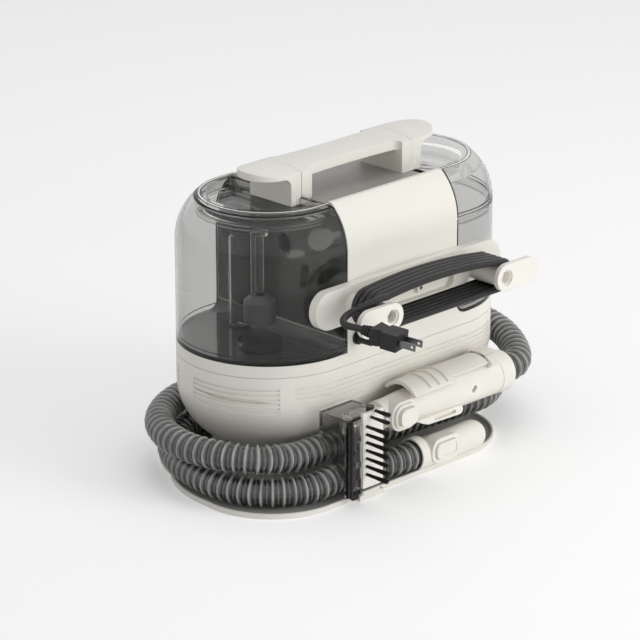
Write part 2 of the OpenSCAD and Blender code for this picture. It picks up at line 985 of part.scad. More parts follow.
module wand_end_ring() {
  color(white)
    difference() {
      about_wand()
        polygon(concat(
          [[wand_bore, ring_start], [wand_radius + 0.5, ring_start]],
          [for (turn = [0 : 15 : 90])
            [wand_radius - 3.5 + 4 * cos(turn), ring_end - 4 + 4 * sin(turn)]],
          [[wand_bore, ring_end]]
        ));
      translate([ring_start + 3, -wand_offset, wand_height])
        rotate([0, 90, 0])
          cylinder(r = hose_diameter / 2 + 0.2, h = ring_end - ring_start);
    }
}

module trigger_pin() {
  color(metal)
    translate([trigger_pivot_x, -wand_offset + 12.2, trigger_pivot_z])
      rotate([90, 0, 0])
        cylinder(r = trigger_pin_radius, h = 24.4);
}

module spray_pipe() {
  color(smoke)
    translate([neck_start + 10, -wand_offset, wand_height - neck_radius + 4.4])
      rotate([0, 90, 0])
        difference() {
          cylinder(r = 2.2, h = ring_start - neck_start - 9);
          translate([0, 0, -1])
            cylinder(r = 1.4, h = ring_start - neck_start);
        }
}

// Arc of the trigger about the wand's axis, seen along X
module trigger_arc(inner, outer, half_angle) {
  translate([-wand_offset, wand_height])
    difference() {
      intersection() {
        circle(r = outer, $fn = 120);
        polygon([
          [0, 0], [60 * sin(-half_angle), 60 * cos(half_angle)],
          [0, 80], [60 * sin(half_angle), 60 * cos(half_angle)]
        ]);
      }
      circle(r = inner, $fn = 120);
    }
}

module spray_trigger() {
  color(white)
    difference() {
      union() {
        difference() {
          along_x(-28, 57)
            trigger_arc(trigger_inner, trigger_outer, 54);
          front_plate(wand_offset - 40, wand_offset + 40)
            translate([-36, wand_height + 6])
              polygon(concat(
                [[-1, -4], [26, -4]],
                [for (k = [8 : -1 : 0])
                  [22 * k / 8, 14 * (1 + cos(22.5 * k)) / 2 - 0.5]],
                [[-1, 13.5]]
              ));
        }
        along_x(28.5, 50)
          trigger_arc(trigger_inner, trigger_outer, 37);
        along_x(76, 12)
          trigger_arc(wand_radius + 1, trigger_outer - 1.2, 20);
        front_plate(wand_offset - 8.2, wand_offset + 8.2)
          translate([trigger_pivot_x, trigger_pivot_z])
            circle(r = 2.6);
        for (rib = [-6, 6, 18])
          along_x(rib, 2.4)
            trigger_arc(trigger_outer - 1, trigger_outer + 1.8, 46);
      }
      translate([trigger_pivot_x, -wand_offset + 20, trigger_pivot_z])
        rotate([90, 0, 0])
          cylinder(r = trigger_pin_radius + run_fit, h = 40);
    }
}

module nozzle_button() {
  color(white)
    front_plate(wand_offset + 12 + button_travel + 0.4, wand_offset + 24.5)
      wand_button_outline(0);
}

// Nozzle

module nozzle_side(inset) {
  polygon([
    [-nozzle_back - inset, nozzle_top - inset], [-nozzle_mouth, nozzle_top - inset],
    [-nozzle_mouth, nozzle_bottom + 1.2 * inset],
    [-nozzle_mouth + 5, nozzle_bottom + nozzle_toe + 1.2 * inset],
    [-nozzle_back - inset, nozzle_back_low + 1.6 * inset]
  ]);
}

module nozzle_shell() {
  color(smoke)
    difference() {
      union() {
        along_x(nozzle_left, nozzle_depth)
          nozzle_side(0);
        translate([nozzle_right - 14, -wand_offset, wand_height])
          rotate([0, 90, 0])
            cylinder(r = neck_radius + fit + 1.4, h = 20);
      }
      difference() {
        along_x(nozzle_left + nozzle_wall, nozzle_depth - 2 * nozzle_wall)
          translate([-0.5, 0])
            nozzle_side(nozzle_wall);
        translate([nozzle_right - 14, -wand_offset, wand_height])
          rotate([0, 90, 0])
            cylinder(r = neck_radius + fit + 1.4, h = 20);
      }
      translate([nozzle_right - 15, -wand_offset, wand_height])
        rotate([0, 90, 0])
          cylinder(r = neck_radius + fit, h = 30);
      translate([nozzle_left + nozzle_wall, -nozzle_mouth - 1, nozzle_bottom + 2 * nozzle_wall])
        cube([nozzle_depth - 2 * nozzle_wall, 3, nozzle_height - 4 * nozzle_wall]);
    }
}

// Mouth frame: backing plate with a flange on its left, and a block with a tall slot and windows
module nozzle_frame() {
  block = nozzle_left + 4;
  window_depth = 2.4;
  color(smoke)
    difference() {
      union() {
        translate([block, -nozzle_mouth - frame_reach, nozzle_bottom])
          cube([frame_width, frame_reach, nozzle_height + 2]);
        translate([block - lip_width - flange_width, -nozzle_mouth - 1.2, nozzle_bottom])
          cube([lip_width + flange_width + 1, 1.2, nozzle_height]);
        translate([block - lip_width - flange_width, -nozzle_mouth - frame_reach, nozzle_bottom])
          cube([flange_width, frame_reach, nozzle_height - 3]);
      }
      translate([block + 1.4, -nozzle_mouth - frame_reach - 1, nozzle_bottom + 6])
        cube([5.4, frame_reach + 2, nozzle_height - 12]);
      for (window = [[16, 12], [32, 22], [58, 12]])
        translate([block + 7.5, -nozzle_mouth - frame_reach - 1, nozzle_bottom + window[0]])
          cube([3.4, window_depth + 1, window[1] - 2]);
    }
}

// Rubber lip in the frame's channel, with a grooved face, and a toe below the frame
module nozzle_lip() {
  block = nozzle_left + 4;
  color(black) {
    difference() {
      translate([block - lip_width, -nozzle_mouth - frame_reach, nozzle_bottom])
        cube([lip_width, frame_reach - 1.2, nozzle_height]);
      translate([block - lip_width + 2.2, -nozzle_mouth - frame_reach - 1, nozzle_bottom - 1])
        cube([1.6, 2.2, nozzle_height + 2]);
      translate([block - lip_width, -nozzle_mouth - frame_reach - 1, nozzle_bottom + nozzle_height])
        rotate([0, 45, 0])
          cube([6, frame_reach + 2, 6], center = true);
    }
    translate([block - 0.6, -nozzle_mouth - frame_reach, nozzle_bottom - 4])
      cube([8, frame_reach - 1.2, 4]);
    translate([block - 3, -nozzle_mouth - frame_reach, nozzle_bottom - 2])
      cube([6, frame_reach - 1.2, 2]);
  }
}

tuft_rows = 9;
tuft_strands = 12;
tuft_pitch = 7.93;
tuft_splay = 1.65;
plate_left = nozzle_left + 4 + frame_width;
plate_width = nozzle_right - plate_left + 1;
plate_bottom = nozzle_bottom + 3.5;
plate_top = nozzle_top + 3;

// The two rows at the top stand further right, and are shorter
function row_step(row) = max(0, row - tuft_rows + 3);
function strand_place(row, k, wide) =
  let (ring = k < 4 ? 0.62 : 1.5, turn = k < 4 ? 90 * k : 45 * k + 22)
  [
    plate_left + 4.2 + 5.6 * row_step(row) + ring * wide * cos(turn),
    nozzle_bottom + 18 + tuft_pitch * row - 3.2 * max(0, row_step(row) - 1) + ring * wide * sin(turn)
  ];

module strand(row, k) {
  base = -nozzle_mouth - frame_reach + 0.4;
  tip = -nozzle_mouth - frame_reach - bristle_length + 4.4 * row_step(row);
  foot = strand_place(row, k, 1);
  end = strand_place(row, k, tuft_splay);
  points = [
    for (t = [0 : 2]) [foot[0] + 0.38 * cos(120 * t), base, foot[1] + 0.38 * sin(120 * t)],
    for (t = [0 : 2]) [end[0] + 0.6 * cos(120 * t), tip, end[1] + 0.6 * sin(120 * t)]
  ];
  polyhedron(points, [
    [0, 1, 2], [5, 4, 3],
    [1, 0, 3], [1, 3, 4], [2, 1, 4], [2, 4, 5], [0, 2, 5], [0, 5, 3]
  ]);
}

module bristle_plate() {
  color(white)
    translate([plate_left, -nozzle_mouth - frame_reach, plate_bottom])
      cube([plate_width, frame_reach, plate_top - plate_bottom]);
  color(black)
    for (row = [0 : tuft_rows - 1], k = [0 : tuft_strands - 1])
      strand(row, k);
}

module spray_tip() {
  color(dark_grey)
    translate([nozzle_right - 9, -nozzle_mouth + 4.2, nozzle_top])
      difference() {
        cylinder(r = 4, h = 5);
        translate([0, 0, 2])
          rotate([90, 0, 0])
            cylinder(r = 1.2, h = 8);
      }
}

// Inside the lower body

module fan_housing() {
  color(dark_grey)
    translate([motor_x, 0, tray_floor])
      difference() {
        union() {
          cylinder(r = motor_radius + 6, h = fan_z + 20 - tray_floor);
          cylinder(r = motor_radius + 12, h = 3);
        }
        translate([0, 0, 3])
          cylinder(r = motor_radius + 3.4, h = fan_z + 20);
        translate([0, 0, -1])
          cylinder(r = 12, h = 8);
      }
}

module fan_motor() {
  color(metal)
    translate([motor_x, 0, tray_floor + 3]) {
      cylinder(r = motor_radius + 3.4, h = 4);
      translate([0, 0, 4])
        cylinder(r = motor_radius, h = motor_length - 4);
      translate([0, 0, motor_length - 1])
        cylinder(r = 12, h = 5);
      translate([0, 0, motor_length])
        cylinder(r = 3, h = 26);
    }
}

module fan_wheel() {
  color(metal)
    translate([motor_x, 0, fan_z - 4])
      difference() {
        union() {
          cylinder(r = fan_radius, h = 1.6);
          cylinder(r = 7, h = 12);
          for (i = [0 : fan_vanes - 1])
            rotate([0, 0, i * 360 / fan_vanes])
              translate([6, -0.7, 1])
                cube([fan_radius - 7.5, 1.4, 10]);
        }
        translate([0, 0, -1])
          cylinder(r = 3 + run_fit, h = 20);
      }
}

module water_pump() {
  color(dark_grey)
    translate([pump_x, 0, tray_floor]) {
      translate([-24, -20, 0])
        cube([44, 40, 4]);
      translate([-22, 0, 19])
        rotate([0, 90, 0])
          cylinder(r = 15.4, h = 40);
      translate([-28, 0, 19])
        rotate([0, 90, 0])
          cylinder(r = 4, h = 8);
      translate([8, 0, 30])
        cylinder(r = 4, h = 20);
    }
}

module control_board() {
  color(board_green)
    translate([-34, end_radius - housing_wall - 22, ledge_height])
      difference() {
        union() {
          cube([96, 1.6, 60]);
          translate([power_x + 34 - 10, 1.6, power_z - ledge_height - 8])
            cube([20, 14, 16]);
          translate([12, -14, 20])
            cube([22, 14, 26]);
        }
      }
}

module suction_duct() {
  color(dark_grey)
    difference() {
      union() {
        translate([-half_tower + housing_wall, suction_y - 16, duct_floor])
          cube([24, 32, suction_z - duct_floor + 16]);
        translate([-half_tower + housing_wall, suction_y - 16, duct_floor])
          cube([half_tower + motor_x + 14, 32, 14]);
      }
      translate([-half_tower + housing_wall + 2, suction_y - 14, duct_floor + 2])
        cube([20, 28, suction_z - duct_floor + 12]);
      translate([-half_tower + housing_wall + 2, suction_y - 14, duct_floor + 2])
        cube([half_tower + motor_x + 10, 28, 10]);
      translate([motor_x, 0, duct_floor - 1])
        cylinder(r = 12, h = 4);
      translate([-half_tower + housing_wall - 1, suction_y, suction_z])
        rotate([0, 90, 0])
          cylinder(r = suction_radius, h = 6);
    }
}

module exhaust_duct() {
  color(dark_grey)
    translate([motor_x + motor_radius + 6, -12, 40])
      difference() {
        cube([40, 24, 18]);
        translate([-1, 2, 2])
          cube([44, 20, 14]);
      }
}

module water_pipe() {
  color(smoke) {
    translate([valve_port[0], valve_port[1], ledge_height - housing_wall])
      difference() {
        union() {
          translate([0, 0, -14])
            cylinder(r = valve_radius + 3, h = 14);
          translate([0, 0, -60])
            cylinder(r = 3.4, h = 48);
        }
        translate([0, 0, -11])
          cylinder(r = valve_radius + fit, h = 12);
        translate([0, 0, -61])
          cylinder(r = 2.2, h = 60);
      }
  }
}

// Tanks: each is drawn at the clean end and turned round for the dirty one

module tank_solid(inset, low, high) {
  difference() {
    end_form(tank_start + inset)
      side_profile(inset, low, high);
    translate([tank_start, 0, tank_base])
      rotate([90, 0, 0])
        linear_extrude(2 * body_width, center = true)
          difference() {
            translate([-1, -1])
              square(tank_cove + 1);
            translate([tank_cove, tank_cove])
              circle(r = tank_cove - inset);
          }
  }
}

module tank_shell(high) {
  difference() {
    tank_solid(0, tank_base, high);
    tank_solid(tank_wall, tank_base + tank_wall, high + 1);
  }
}

// Straight collar inside the tank's rim, which takes the lid
module tank_neck() {
  difference() {
    end_form(tank_start + tank_wall - 0.5)
      translate([0, neck_bottom])
        square([neck_half + neck_wall, lid_seat - neck_bottom]);
    end_form(tank_start + tank_wall)
      translate([0, neck_bottom - 1])
        square([neck_half, lid_seat - neck_bottom + 2]);
  }
}

module lid_form(low) {
  difference() {
    union() {
      end_form(tank_start)
        side_profile(0, lid_seat, rim_height);
      end_form(tank_start + tank_wall + fit)
        translate([0, low])
          square([neck_half - fit, lid_seat + 0.5 - low]);
    }
    end_form(tank_start + 2 * tank_wall + fit + 2)
      intersection() {
        side_profile(2 * tank_wall + fit + 2, deck_height, lid_seat);
        translate([0, deck_height])
          square([end_radius - rim_inset - 8, 40]);
      }
    end_form(tank_start + 2 * tank_wall + fit + 2)
      translate([0, lid_seat - 1])
        square([end_radius - rim_inset - 8, 40]);
    translate([half_tower - 1, -grip_half_width - fit, deck_height])
      cube([cap_block + 2, 2 * grip_half_width + 2 * fit, 60]);
  }
}

// Outline of an end cap seen along -Y: block, thin plate over it and the round corner between
module end_cap_side() {
  translate([0, deck_height])
    square([cap_block, crown_height - deck_height]);
  translate([0, crown_height - cap_plate])
    square([cap_reach + grip_half_width, cap_plate]);
  difference() {
    translate([cap_block - 1, crown_height - cap_plate - cap_corner])
      square([cap_corner + 1, cap_corner + 1]);
    translate([cap_block + cap_corner, crown_height - cap_plate - cap_corner])
      circle(r = cap_corner);
  }
}

module end_cap() {
  color(white)
    intersection() {
      along_x(tank_start, cap_reach + grip_half_width)
        crown_profile(deck_height);
      translate([tank_start, 0, 0])
        rotate([90, 0, 0])
          linear_extrude(2 * grip_half_width, center = true)
            end_cap_side();
      translate([tank_start, 0, 0])
        linear_extrude(crown_height + 1) {
          translate([0, -grip_half_width + fit])
            square([cap_reach, 2 * grip_half_width - 2 * fit]);
          translate([cap_reach, 0])
            circle(r = grip_half_width - fit, $fn = 96);
        }
    }
}

module seal_ring(low) {
  color(black)
    difference() {
      end_form(tank_start + tank_wall + 0.1)
        side_profile(tank_wall + 0.1, low, low + 2);
      end_form(tank_start + tank_wall + 1.6)
        side_profile(tank_wall + 1.6, low - 1, low + 3);
    }
}

module dirty_side() {
  rotate([0, 0, 180])
    children();
}

module dirty_tank_shell() {
  color(smoke)
    dirty_side()
      difference() {
        union() {
          tank_shell(lid_seat);
          tank_neck();
        }
        translate([half_tower - 1, -suction_y, suction_z])
          rotate([0, 90, 0])
            cylinder(r = suction_radius, h = 8);
        translate([-duct_port[0], -duct_port[1], tank_base - 1])
          cylinder(r = port_radius - 3, h = tank_wall + 2);
        translate([half_tower - 1, -grip_half_width - fit, deck_height - fit])
          cube([tank_wall + 3, 2 * grip_half_width + 2 * fit, 20]);
      }
}

hood_size = 2 * port_radius + 4;
hood_bottom = deck_height - tank_wall - 11.2 - hood_size;

// Rising duct beside the flat wall: dirty water comes up it and falls into the tank
module dirty_tank_duct() {
  color(smoke)
    dirty_side()
      difference() {
        union() {
          translate([-duct_port[0], -duct_port[1], tank_base + tank_wall])
            cylinder(r = port_radius, h = hood_bottom + 6 - tank_base - tank_wall);
          translate([-duct_port[0] - hood_size / 2, -duct_port[1] - hood_size / 2, hood_bottom])
            cube(hood_size);
        }
        translate([-duct_port[0], -duct_port[1], tank_base])
          cylinder(r = port_radius - 2, h = hood_bottom + 7.6 - tank_base);
        translate([-duct_port[0] - hood_size / 2 + 2, -duct_port[1] - hood_size / 2 + 2, hood_bottom + 2])
          cube([hood_size + 4, hood_size - 4, hood_size - 4]);
      }
}

float_place = [-straight - 35.5, -24];
post_height = deck_height - 2 * tank_wall - 12.8 - tank_base;
float_rest = 26;
float_height = 20;

module float_post() {
  color(smoke)
    translate([float_place[0], float_place[1], tank_base + tank_wall]) {
      difference() {
        cylinder(r = 21, h = 8);
        translate([0, 0, 2])
          cylinder(r = 17.5, h = 10);
      }
      cylinder(r = 4, h = post_height);
      cylinder(r = 8, h = float_rest - 0.3);
      translate([0, 0, post_height - 4])
        cylinder(r = 8, h = 4);
    }
}

module float_ball() {
  color(dark_grey)
    translate([float_place[0], float_place[1], tank_base + tank_wall + float_rest])
      difference() {
        union() {
          cylinder(r = float_radius, h = float_height);
          translate([0, 0, float_height])
            cylinder(r1 = float_radius, r2 = 8, h = 6);
        }
        translate([0, 0, -1])
          cylinder(r = 4.6, h = float_height + 8);
      }
}

module dirty_lid() {
  color(smoke)
    dirty_side()
      lid_form(deck_height - tank_wall);
}

module dirty_lid_seal() {
  low = deck_height - tank_wall - 2;
  color(black)
    dirty_side()
      difference() {
        end_form(tank_start + tank_wall + 0.1)
          translate([0, low])
            square([neck_half - 0.1, 2]);
        end_form(tank_start + tank_wall + 1.6)
          translate([0, low - 1])
            square([neck_half - 1.6, 4]);
      }
}

module dirty_end_cap() {
  dirty_side()
    end_cap();
}

module clean_tank_shell() {
  color(smoke)
    difference() {
      tank_shell(dome_seam - 0.4);
      translate([valve_port[0], valve_port[1], tank_base - 1])
        cylinder(r = 6, h = tank_wall + 2);
    }
}

module clean_tank_valve() {
  color(white)
    translate([valve_port[0], valve_port[1], 0])
      difference() {
        union() {
          translate([0, 0, ledge_height - 8])
            cylinder(r = valve_radius, h = tank_base - ledge_height + 8);
          translate([0, 0, tank_base - 1])
            cylinder(r = 6, h = tank_wall + 3);
        }
        translate([0, 0, ledge_height - 9])
          cylinder(r = 3.4, h = 30);
        translate([0, 0, ledge_height - 9])
          cylinder(r = 10, h = 6);
      }
}

module valve_plunger() {
  color(black)
    translate([valve_port[0], valve_port[1], 0]) {
      translate([0, 0, ledge_height - 7])
        cylinder(r = 3.4 - run_fit, h = tank_base - ledge_height + 10 + tank_wall);
      translate([0, 0, tank_base + tank_wall + 2 + fit])
        cylinder(r = 5.4, h = 3);
    }
}

module clean_lid() {
  color(smoke)
    difference() {
      union() {
        difference() {
          end_form(tank_start)
            side_profile(0, dome_seam, lid_seat + 1);
          end_form(tank_start + tank_wall)
            side_profile(tank_wall, dome_seam - 1, deck_height - tank_wall);
          end_form(tank_start + 2 * tank_wall + fit + 2)
            translate([0, deck_height])
              square([end_radius - rim_inset - 8, 40]);
        }
        difference() {
          union() {
            end_form(tank_start + tank_wall + fit)
              side_profile(tank_wall + fit, dome_seam - 7, dome_seam + 2);
            end_form(tank_start + tank_wall - 0.5)
              side_profile(tank_wall - 0.5, dome_seam, dome_seam + 2);
          }
          end_form(tank_start + 2 * tank_wall + fit)
            side_profile(2 * tank_wall + fit, dome_seam - 8, dome_seam + 3);
        }
        difference() {
          end_form(tank_start)
            side_profile(0, lid_seat, rim_height);
          end_form(tank_start + 2 * tank_wall + fit + 2)
            translate([0, lid_seat - 1])
              square([end_radius - rim_inset - 8, 40]);
        }
      }
      translate([half_tower - 1, -grip_half_width - fit, deck_height])
        cube([cap_block + 2, 2 * grip_half_width + 2 * fit, 60]);
    }
}

module clean_lid_seal() {
  seal_ring(dome_seam - 9);
}

module clean_end_cap() {
  end_cap();
}

module power_button() {
  color(dark_grey)
    translate([power_x, end_radius + 1.6, power_z])
      rotate([90, 0, 0])
        cylinder(r = power_radius, h = 8);
}

// Hose and cord

module hose() {
  path = even_path(smooth_route(hose_route, 12), 2 * rib_count);
  outer = tube_rings(
    path,
    [for (i = [0 : 2 * rib_count])
      hose_diameter / 2 - (i % 2 == 0 || i < 3 || i > 2 * rib_count - 3 ? rib_depth : 0)],
    8
  );
  bore_path = [for (i = [0 : 4 : 2 * rib_count]) path[min(i, 2 * rib_count)]];
  bore = tube_rings(
    concat(bore_path, bore_path[len(bore_path) - 1] == path[2 * rib_count] ? [] : [path[2 * rib_count]]),
    [for (i = [0 : len(bore_path)]) hose_bore / 2],
    8
  );
  outer_rings = len(outer) / 8;
  bore_rings = len(bore) / 8;
  first = len(outer);
  echo(hose_length = running_length(path)[2 * rib_count], hose_gap = own_gap(path, 8, hose_diameter));
  color(hose_grey)
    polyhedron(
      concat(outer, bore),
      concat(
        wall_faces(outer_rings, 8, 0, false),
        wall_faces(bore_rings, 8, first, true),
        collar_faces(0, first, 8, false),
        collar_faces((outer_rings - 1) * 8, first + (bore_rings - 1) * 8, 8, true)
      )
    );
}

arc_steps = 8;
arch_steps = 8;
winding_radius = post_radius + cord_diameter / 2 + 0.6;
winding_slack = cord_arch / 2;
winding_y = -plate_back + cord_diameter / 2 + 0.4 + cord_step * (cord_turns - 0.5);

// Place on a half turn round one post, part from 0 to 1; the upper side stands off the left post
function winding_point(half, part) =
  let (
    side = half % 2 == 0 ? 1 : -1,
    angle = (side > 0 ? -90 : 90) + 180 * part,
    radius = winding_radius + (side > 0 ? 0 : winding_slack * (1 - part))
  )
  [
    side * hook_spacing + radius * cos(angle),
    winding_y - cord_step * (half + part) / 2,
    hook_height + radius * sin(angle)
  ];

// Place on the upper run that follows a half turn, arched between the posts
function arch_point(half, part) = [
  hook_spacing * (1 - 2 * part),
  winding_y - cord_step * (half + 1) / 2,
  hook_height + winding_radius
    + (4 * cord_arch - winding_slack) * part + (2 * winding_slack - 4 * cord_arch) * part * part
];

winding_path = concat(
  [[-16, winding_y, hook_height - winding_radius]],
  [for (half = [0 : 2 * cord_turns - 2]) each concat(
    [for (step = [0 : arc_steps]) winding_point(half, step / arc_steps)],
    half % 2 == 0 ? [for (step = [1 : arch_steps - 1]) arch_point(half, step / arch_steps)] : []
  )],
  [arch_point(2 * cord_turns - 2, 1)]
);

module cord_winding() {
  echo(winding_length = running_length(winding_path)[len(winding_path) - 1],
    winding_gap = own_gap(winding_path, 7, cord_diameter));
  color(black)
    tube(winding_path, cord_diameter / 2, 8);
}

module cord_lead() {
  color(black)
    tube(even_path(smooth_route(lead_route, 8), 18), cord_diameter / 2, 8);
}

module cord_tail() {
  color(black)
    tube(even_path(smooth_route(tail_route, 8), 18), cord_diameter / 2, 8);
}

module at_plug() {
  translate(plug_place)
    rotate([0, 0, plug_turn])
      rotate([95, 0, 0])
        children();
}

module plug_body() {
  color(black)
    at_plug() {
      difference() {
        cylinder(r1 = 4.6, r2 = 6.4, h = 14);
        for (i = [0 : 3])
          translate([0, 0, 2 + i * 3])
            difference() {
              cylinder(r = 8, h = 1.2);
              translate([0, 0, -1])
                cylinder(r = 4.2, h = 4);
            }
      }
      translate([-11, -8, 13])
        difference() {
          cube([22, 16, 28]);
          for (side = [0, 1])
            translate([11 + (side == 0 ? -11 : 11), -1, -1])
              rotate([0, side == 0 ? 20 : -20, 0])
                translate([side == 0 ? -12 : 0, 0, -4])
                  cube([12, 20, 16]);
        }
    }
}

module plug_blades() {
  color(metal)
    at_plug()
      for (side = [-1, 1])
        translate([side * 6.35 - 0.75, -3.2, 41])
          difference() {
            cube([1.5, 6.4, 17.5]);
            translate([-1, 3.2, 14])
              rotate([0, 90, 0])
                cylinder(r = 1.5, h = 4);
          }
}

tray();
tray_pads();
lower_shell();
upper_shell();
tower_panel_left();
tower_panel_right();
deck();
carry_grip();
cord_bracket();
cord_hook_left();
hook_screws();
cord_gland();
hose_dock();
dock_spring();
wand_shell();
wand_end_ring();
trigger_pin();
spray_pipe();
fan_housing();
fan_motor();
fan_wheel();
water_pump();
control_board();
exhaust_duct();
suction_duct();
water_pipe();
dirty_tank_shell();
dirty_tank_duct();
float_post();
float_ball();
dirty_lid();
dirty_lid_seal();
dirty_end_cap();
clean_tank_shell();
clean_tank_valve();
valve_plunger();
clean_lid();
clean_lid_seal();
clean_end_cap();
cord_hook_right();
spray_trigger();
nozzle_button();
dock_button();
power_button();
nozzle_shell();
nozzle_frame();
nozzle_lip();
bristle_plate();
spray_tip();
hose();
cord_lead();
cord_winding();
cord_tail();
plug_body();
plug_blades();
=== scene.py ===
"""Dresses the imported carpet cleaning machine: cords and hose, fine pieces, materials, light, camera."""

import math
from random import Random

import bmesh
import bpy
from mathutils import Matrix, Vector


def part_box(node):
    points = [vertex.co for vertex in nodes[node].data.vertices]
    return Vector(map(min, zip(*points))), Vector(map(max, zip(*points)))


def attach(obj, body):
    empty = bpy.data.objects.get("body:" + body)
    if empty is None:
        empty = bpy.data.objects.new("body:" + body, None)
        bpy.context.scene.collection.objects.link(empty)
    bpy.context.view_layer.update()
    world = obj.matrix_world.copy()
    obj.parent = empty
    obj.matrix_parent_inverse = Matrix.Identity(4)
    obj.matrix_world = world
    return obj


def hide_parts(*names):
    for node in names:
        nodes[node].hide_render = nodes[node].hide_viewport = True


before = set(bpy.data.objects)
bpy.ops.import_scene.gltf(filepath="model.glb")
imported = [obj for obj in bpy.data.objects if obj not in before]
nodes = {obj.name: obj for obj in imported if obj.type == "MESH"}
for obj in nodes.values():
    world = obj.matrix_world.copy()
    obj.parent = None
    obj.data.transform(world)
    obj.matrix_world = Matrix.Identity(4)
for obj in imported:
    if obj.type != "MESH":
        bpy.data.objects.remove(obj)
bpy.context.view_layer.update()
MM = 0.001


def corners_mm(name):
    """Lowest and highest corner of a node in mm, to the micron."""
    return [[round(v / MM, 3) for v in corner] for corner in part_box(name)]


# Camera, worked out from the photograph's vanishing lines

SENSOR = 36.0
IMAGE_WIDTH = 640
FOCAL_PIXELS = 3467.0
FAR_CLIP = 50.0
CAMERA_PLACE = Vector((-2.2470, -2.2162, 1.2477))
CAMERA_AZIMUTH = math.radians(-45.11)
CAMERA_ELEVATION = math.radians(19.73)


def make_camera():
    data = bpy.data.cameras.new("camera")
    data.sensor_width = SENSOR
    data.lens = FOCAL_PIXELS / IMAGE_WIDTH * SENSOR
    data.clip_end = FAR_CLIP
    camera = bpy.data.objects.new("camera", data)
    camera.location = CAMERA_PLACE
    back = Vector((
        math.sin(CAMERA_AZIMUTH) * math.cos(CAMERA_ELEVATION),
        -math.cos(CAMERA_AZIMUTH) * math.cos(CAMERA_ELEVATION),
        math.sin(CAMERA_ELEVATION),
    ))
    camera.rotation_euler = (-back).to_track_quat("-Z", "Y").to_euler()
    bpy.context.scene.collection.objects.link(camera)
    bpy.context.scene.camera = camera


make_camera()

# Geometry helpers


def link(name, mesh, body, smooth=True):
    """Turns a mesh into an object that rides on a body."""
    obj = bpy.data.objects.new(name, mesh)
    bpy.context.scene.collection.objects.link(obj)
    if smooth:
        mesh.shade_smooth()
    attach(obj, body)
    return obj


def curve_point(a, b, c, d, t):
    """Point on the smooth curve between b and c, t from 0 to 1."""
    return 0.5 * (
        2 * b + (c - a) * t + (2 * a - 5 * b + 4 * c - d) * t * t + (3 * b - a - 3 * c + d) * t * t * t
    )


def smooth_route(route, steps):
    """Points along the curve through the route, steps to each stretch."""
    points = [Vector(p) * MM for p in route]
    ends = [2 * points[0] - points[1]] + points + [2 * points[-1] - points[-2]]
    path = []
    for i in range(len(points) - 1):
        for s in range(steps):
            path.append(curve_point(ends[i], ends[i + 1], ends[i + 2], ends[i + 3], s / steps))
    path.append(points[-1])
    return path


def even_path(path, count):
    """The same line as count equal steps."""
    sums = [0.0]
    for a, b in zip(path, path[1:]):
        sums.append(sums[-1] + (b - a).length)
    result = []
    j = 0
    for i in range(count + 1):
        want = sums[-1] * i / count
        while j < len(path) - 2 and sums[j + 1] < want:
            j += 1
        share = (want - sums[j]) / max(sums[j + 1] - sums[j], 1e-12)
        result.append(path[j].lerp(path[j + 1], min(1.0, share)))
    return result


def rings_along(path, radii, sides):
    """Rings of points square to the path, carried along without twist."""
    tangents = [
        (path[min(i + 1, len(path) - 1)] - path[max(i - 1, 0)]).normalized() for i in range(len(path))
    ]
    upright = abs(tangents[0].z) > 0.99
    normal = tangents[0].cross(Vector((1, 0, 0)) if upright else Vector((0, 0, 1))).normalized()
    rings = []
    for point, tangent, radius in zip(path, tangents, radii):
        normal = (normal - normal.dot(tangent) * tangent).normalized()
        other = tangent.cross(normal)
        rings.append([
            point + radius * (
                normal * math.cos(2 * math.pi * k / sides) + other * math.sin(2 * math.pi * k / sides)
            )
            for k in range(sides)
        ])
    return rings


def wall_faces(first, rings, sides, outward=True):
    faces = []
    for i in range(rings - 1):
        for k in range(sides):
            a = first + i * sides + k
            b = first + i * sides + (k + 1) % sides
            face = (a, b, b + sides, a + sides)
            faces.append(face if outward else face[::-1])
    return faces


def tube_mesh(name, path, radii, sides):
    """A closed tube along the path."""
    rings = rings_along(path, radii, sides)
    points = [p for ring in rings for p in ring]
    faces = wall_faces(0, len(rings), sides)
    faces.append(tuple(range(sides))[::-1])
    faces.append(tuple(range((len(rings) - 1) * sides, len(rings) * sides)))
    mesh = bpy.data.meshes.new(name)
    mesh.from_pydata(points, [], faces)
    mesh.update()
    return mesh


# Hose: the route's points are those of the solid model

HOSE_ROUTE = [
    (-20, -124, 17.5), (-46, -123.6, 17.5), (-82, -116.6, 17.5), (-116, -113.8, 17.5),
    (-145, -115.5, 17.5), (-172, -105, 17.5), (-193, -83, 17.5), (-203, -50, 17.5),
    (-200, -12, 17.5), (-188, 24, 17.5), (-162, 60, 17.5), (-120, 83, 17.5),
    (-70, 90, 17.5), (0, 90, 17.5), (66, 90, 17.8), (118, 82.5, 20.3),
    (158, 52, 20.6), (175, 8, 21.8), (170, -36, 26), (147, -69, 29.5),
    (110, -90, 33), (70, -92, 34.8), (20, -91, 36), (-20, -90.5, 36.6),
    (-55, -90, 37), (-88, -89.5, 38), (-120, -91, 40), (-146, -91.5, 41),
    (-170, -90, 45), (-191, -79, 47.6), (-205, -52, 48), (-211, -15, 47.6),
    (-203, 24, 47.6), (-180, 58, 47.6), (-140, 83, 47.6), (-90, 93, 47.8),
    (-20, 95, 50), (50, 98, 55), (105, 100, 61), (150, 86, 67),
    (182, 51, 71), (195, 3, 72.5), (186, -44, 71), (168, -80, 68),
    (147, -104, 65), (129, -112, 64), (100, -112, 64),
]
HOSE_RADIUS = 0.0143
HOSE_BORE = 0.0112
HOSE_RIBS = 206
HOSE_SIDES = 32
RIB_DEPTH = 0.0029
ROUTE_STEPS = 12
INNER_SKIP = 4
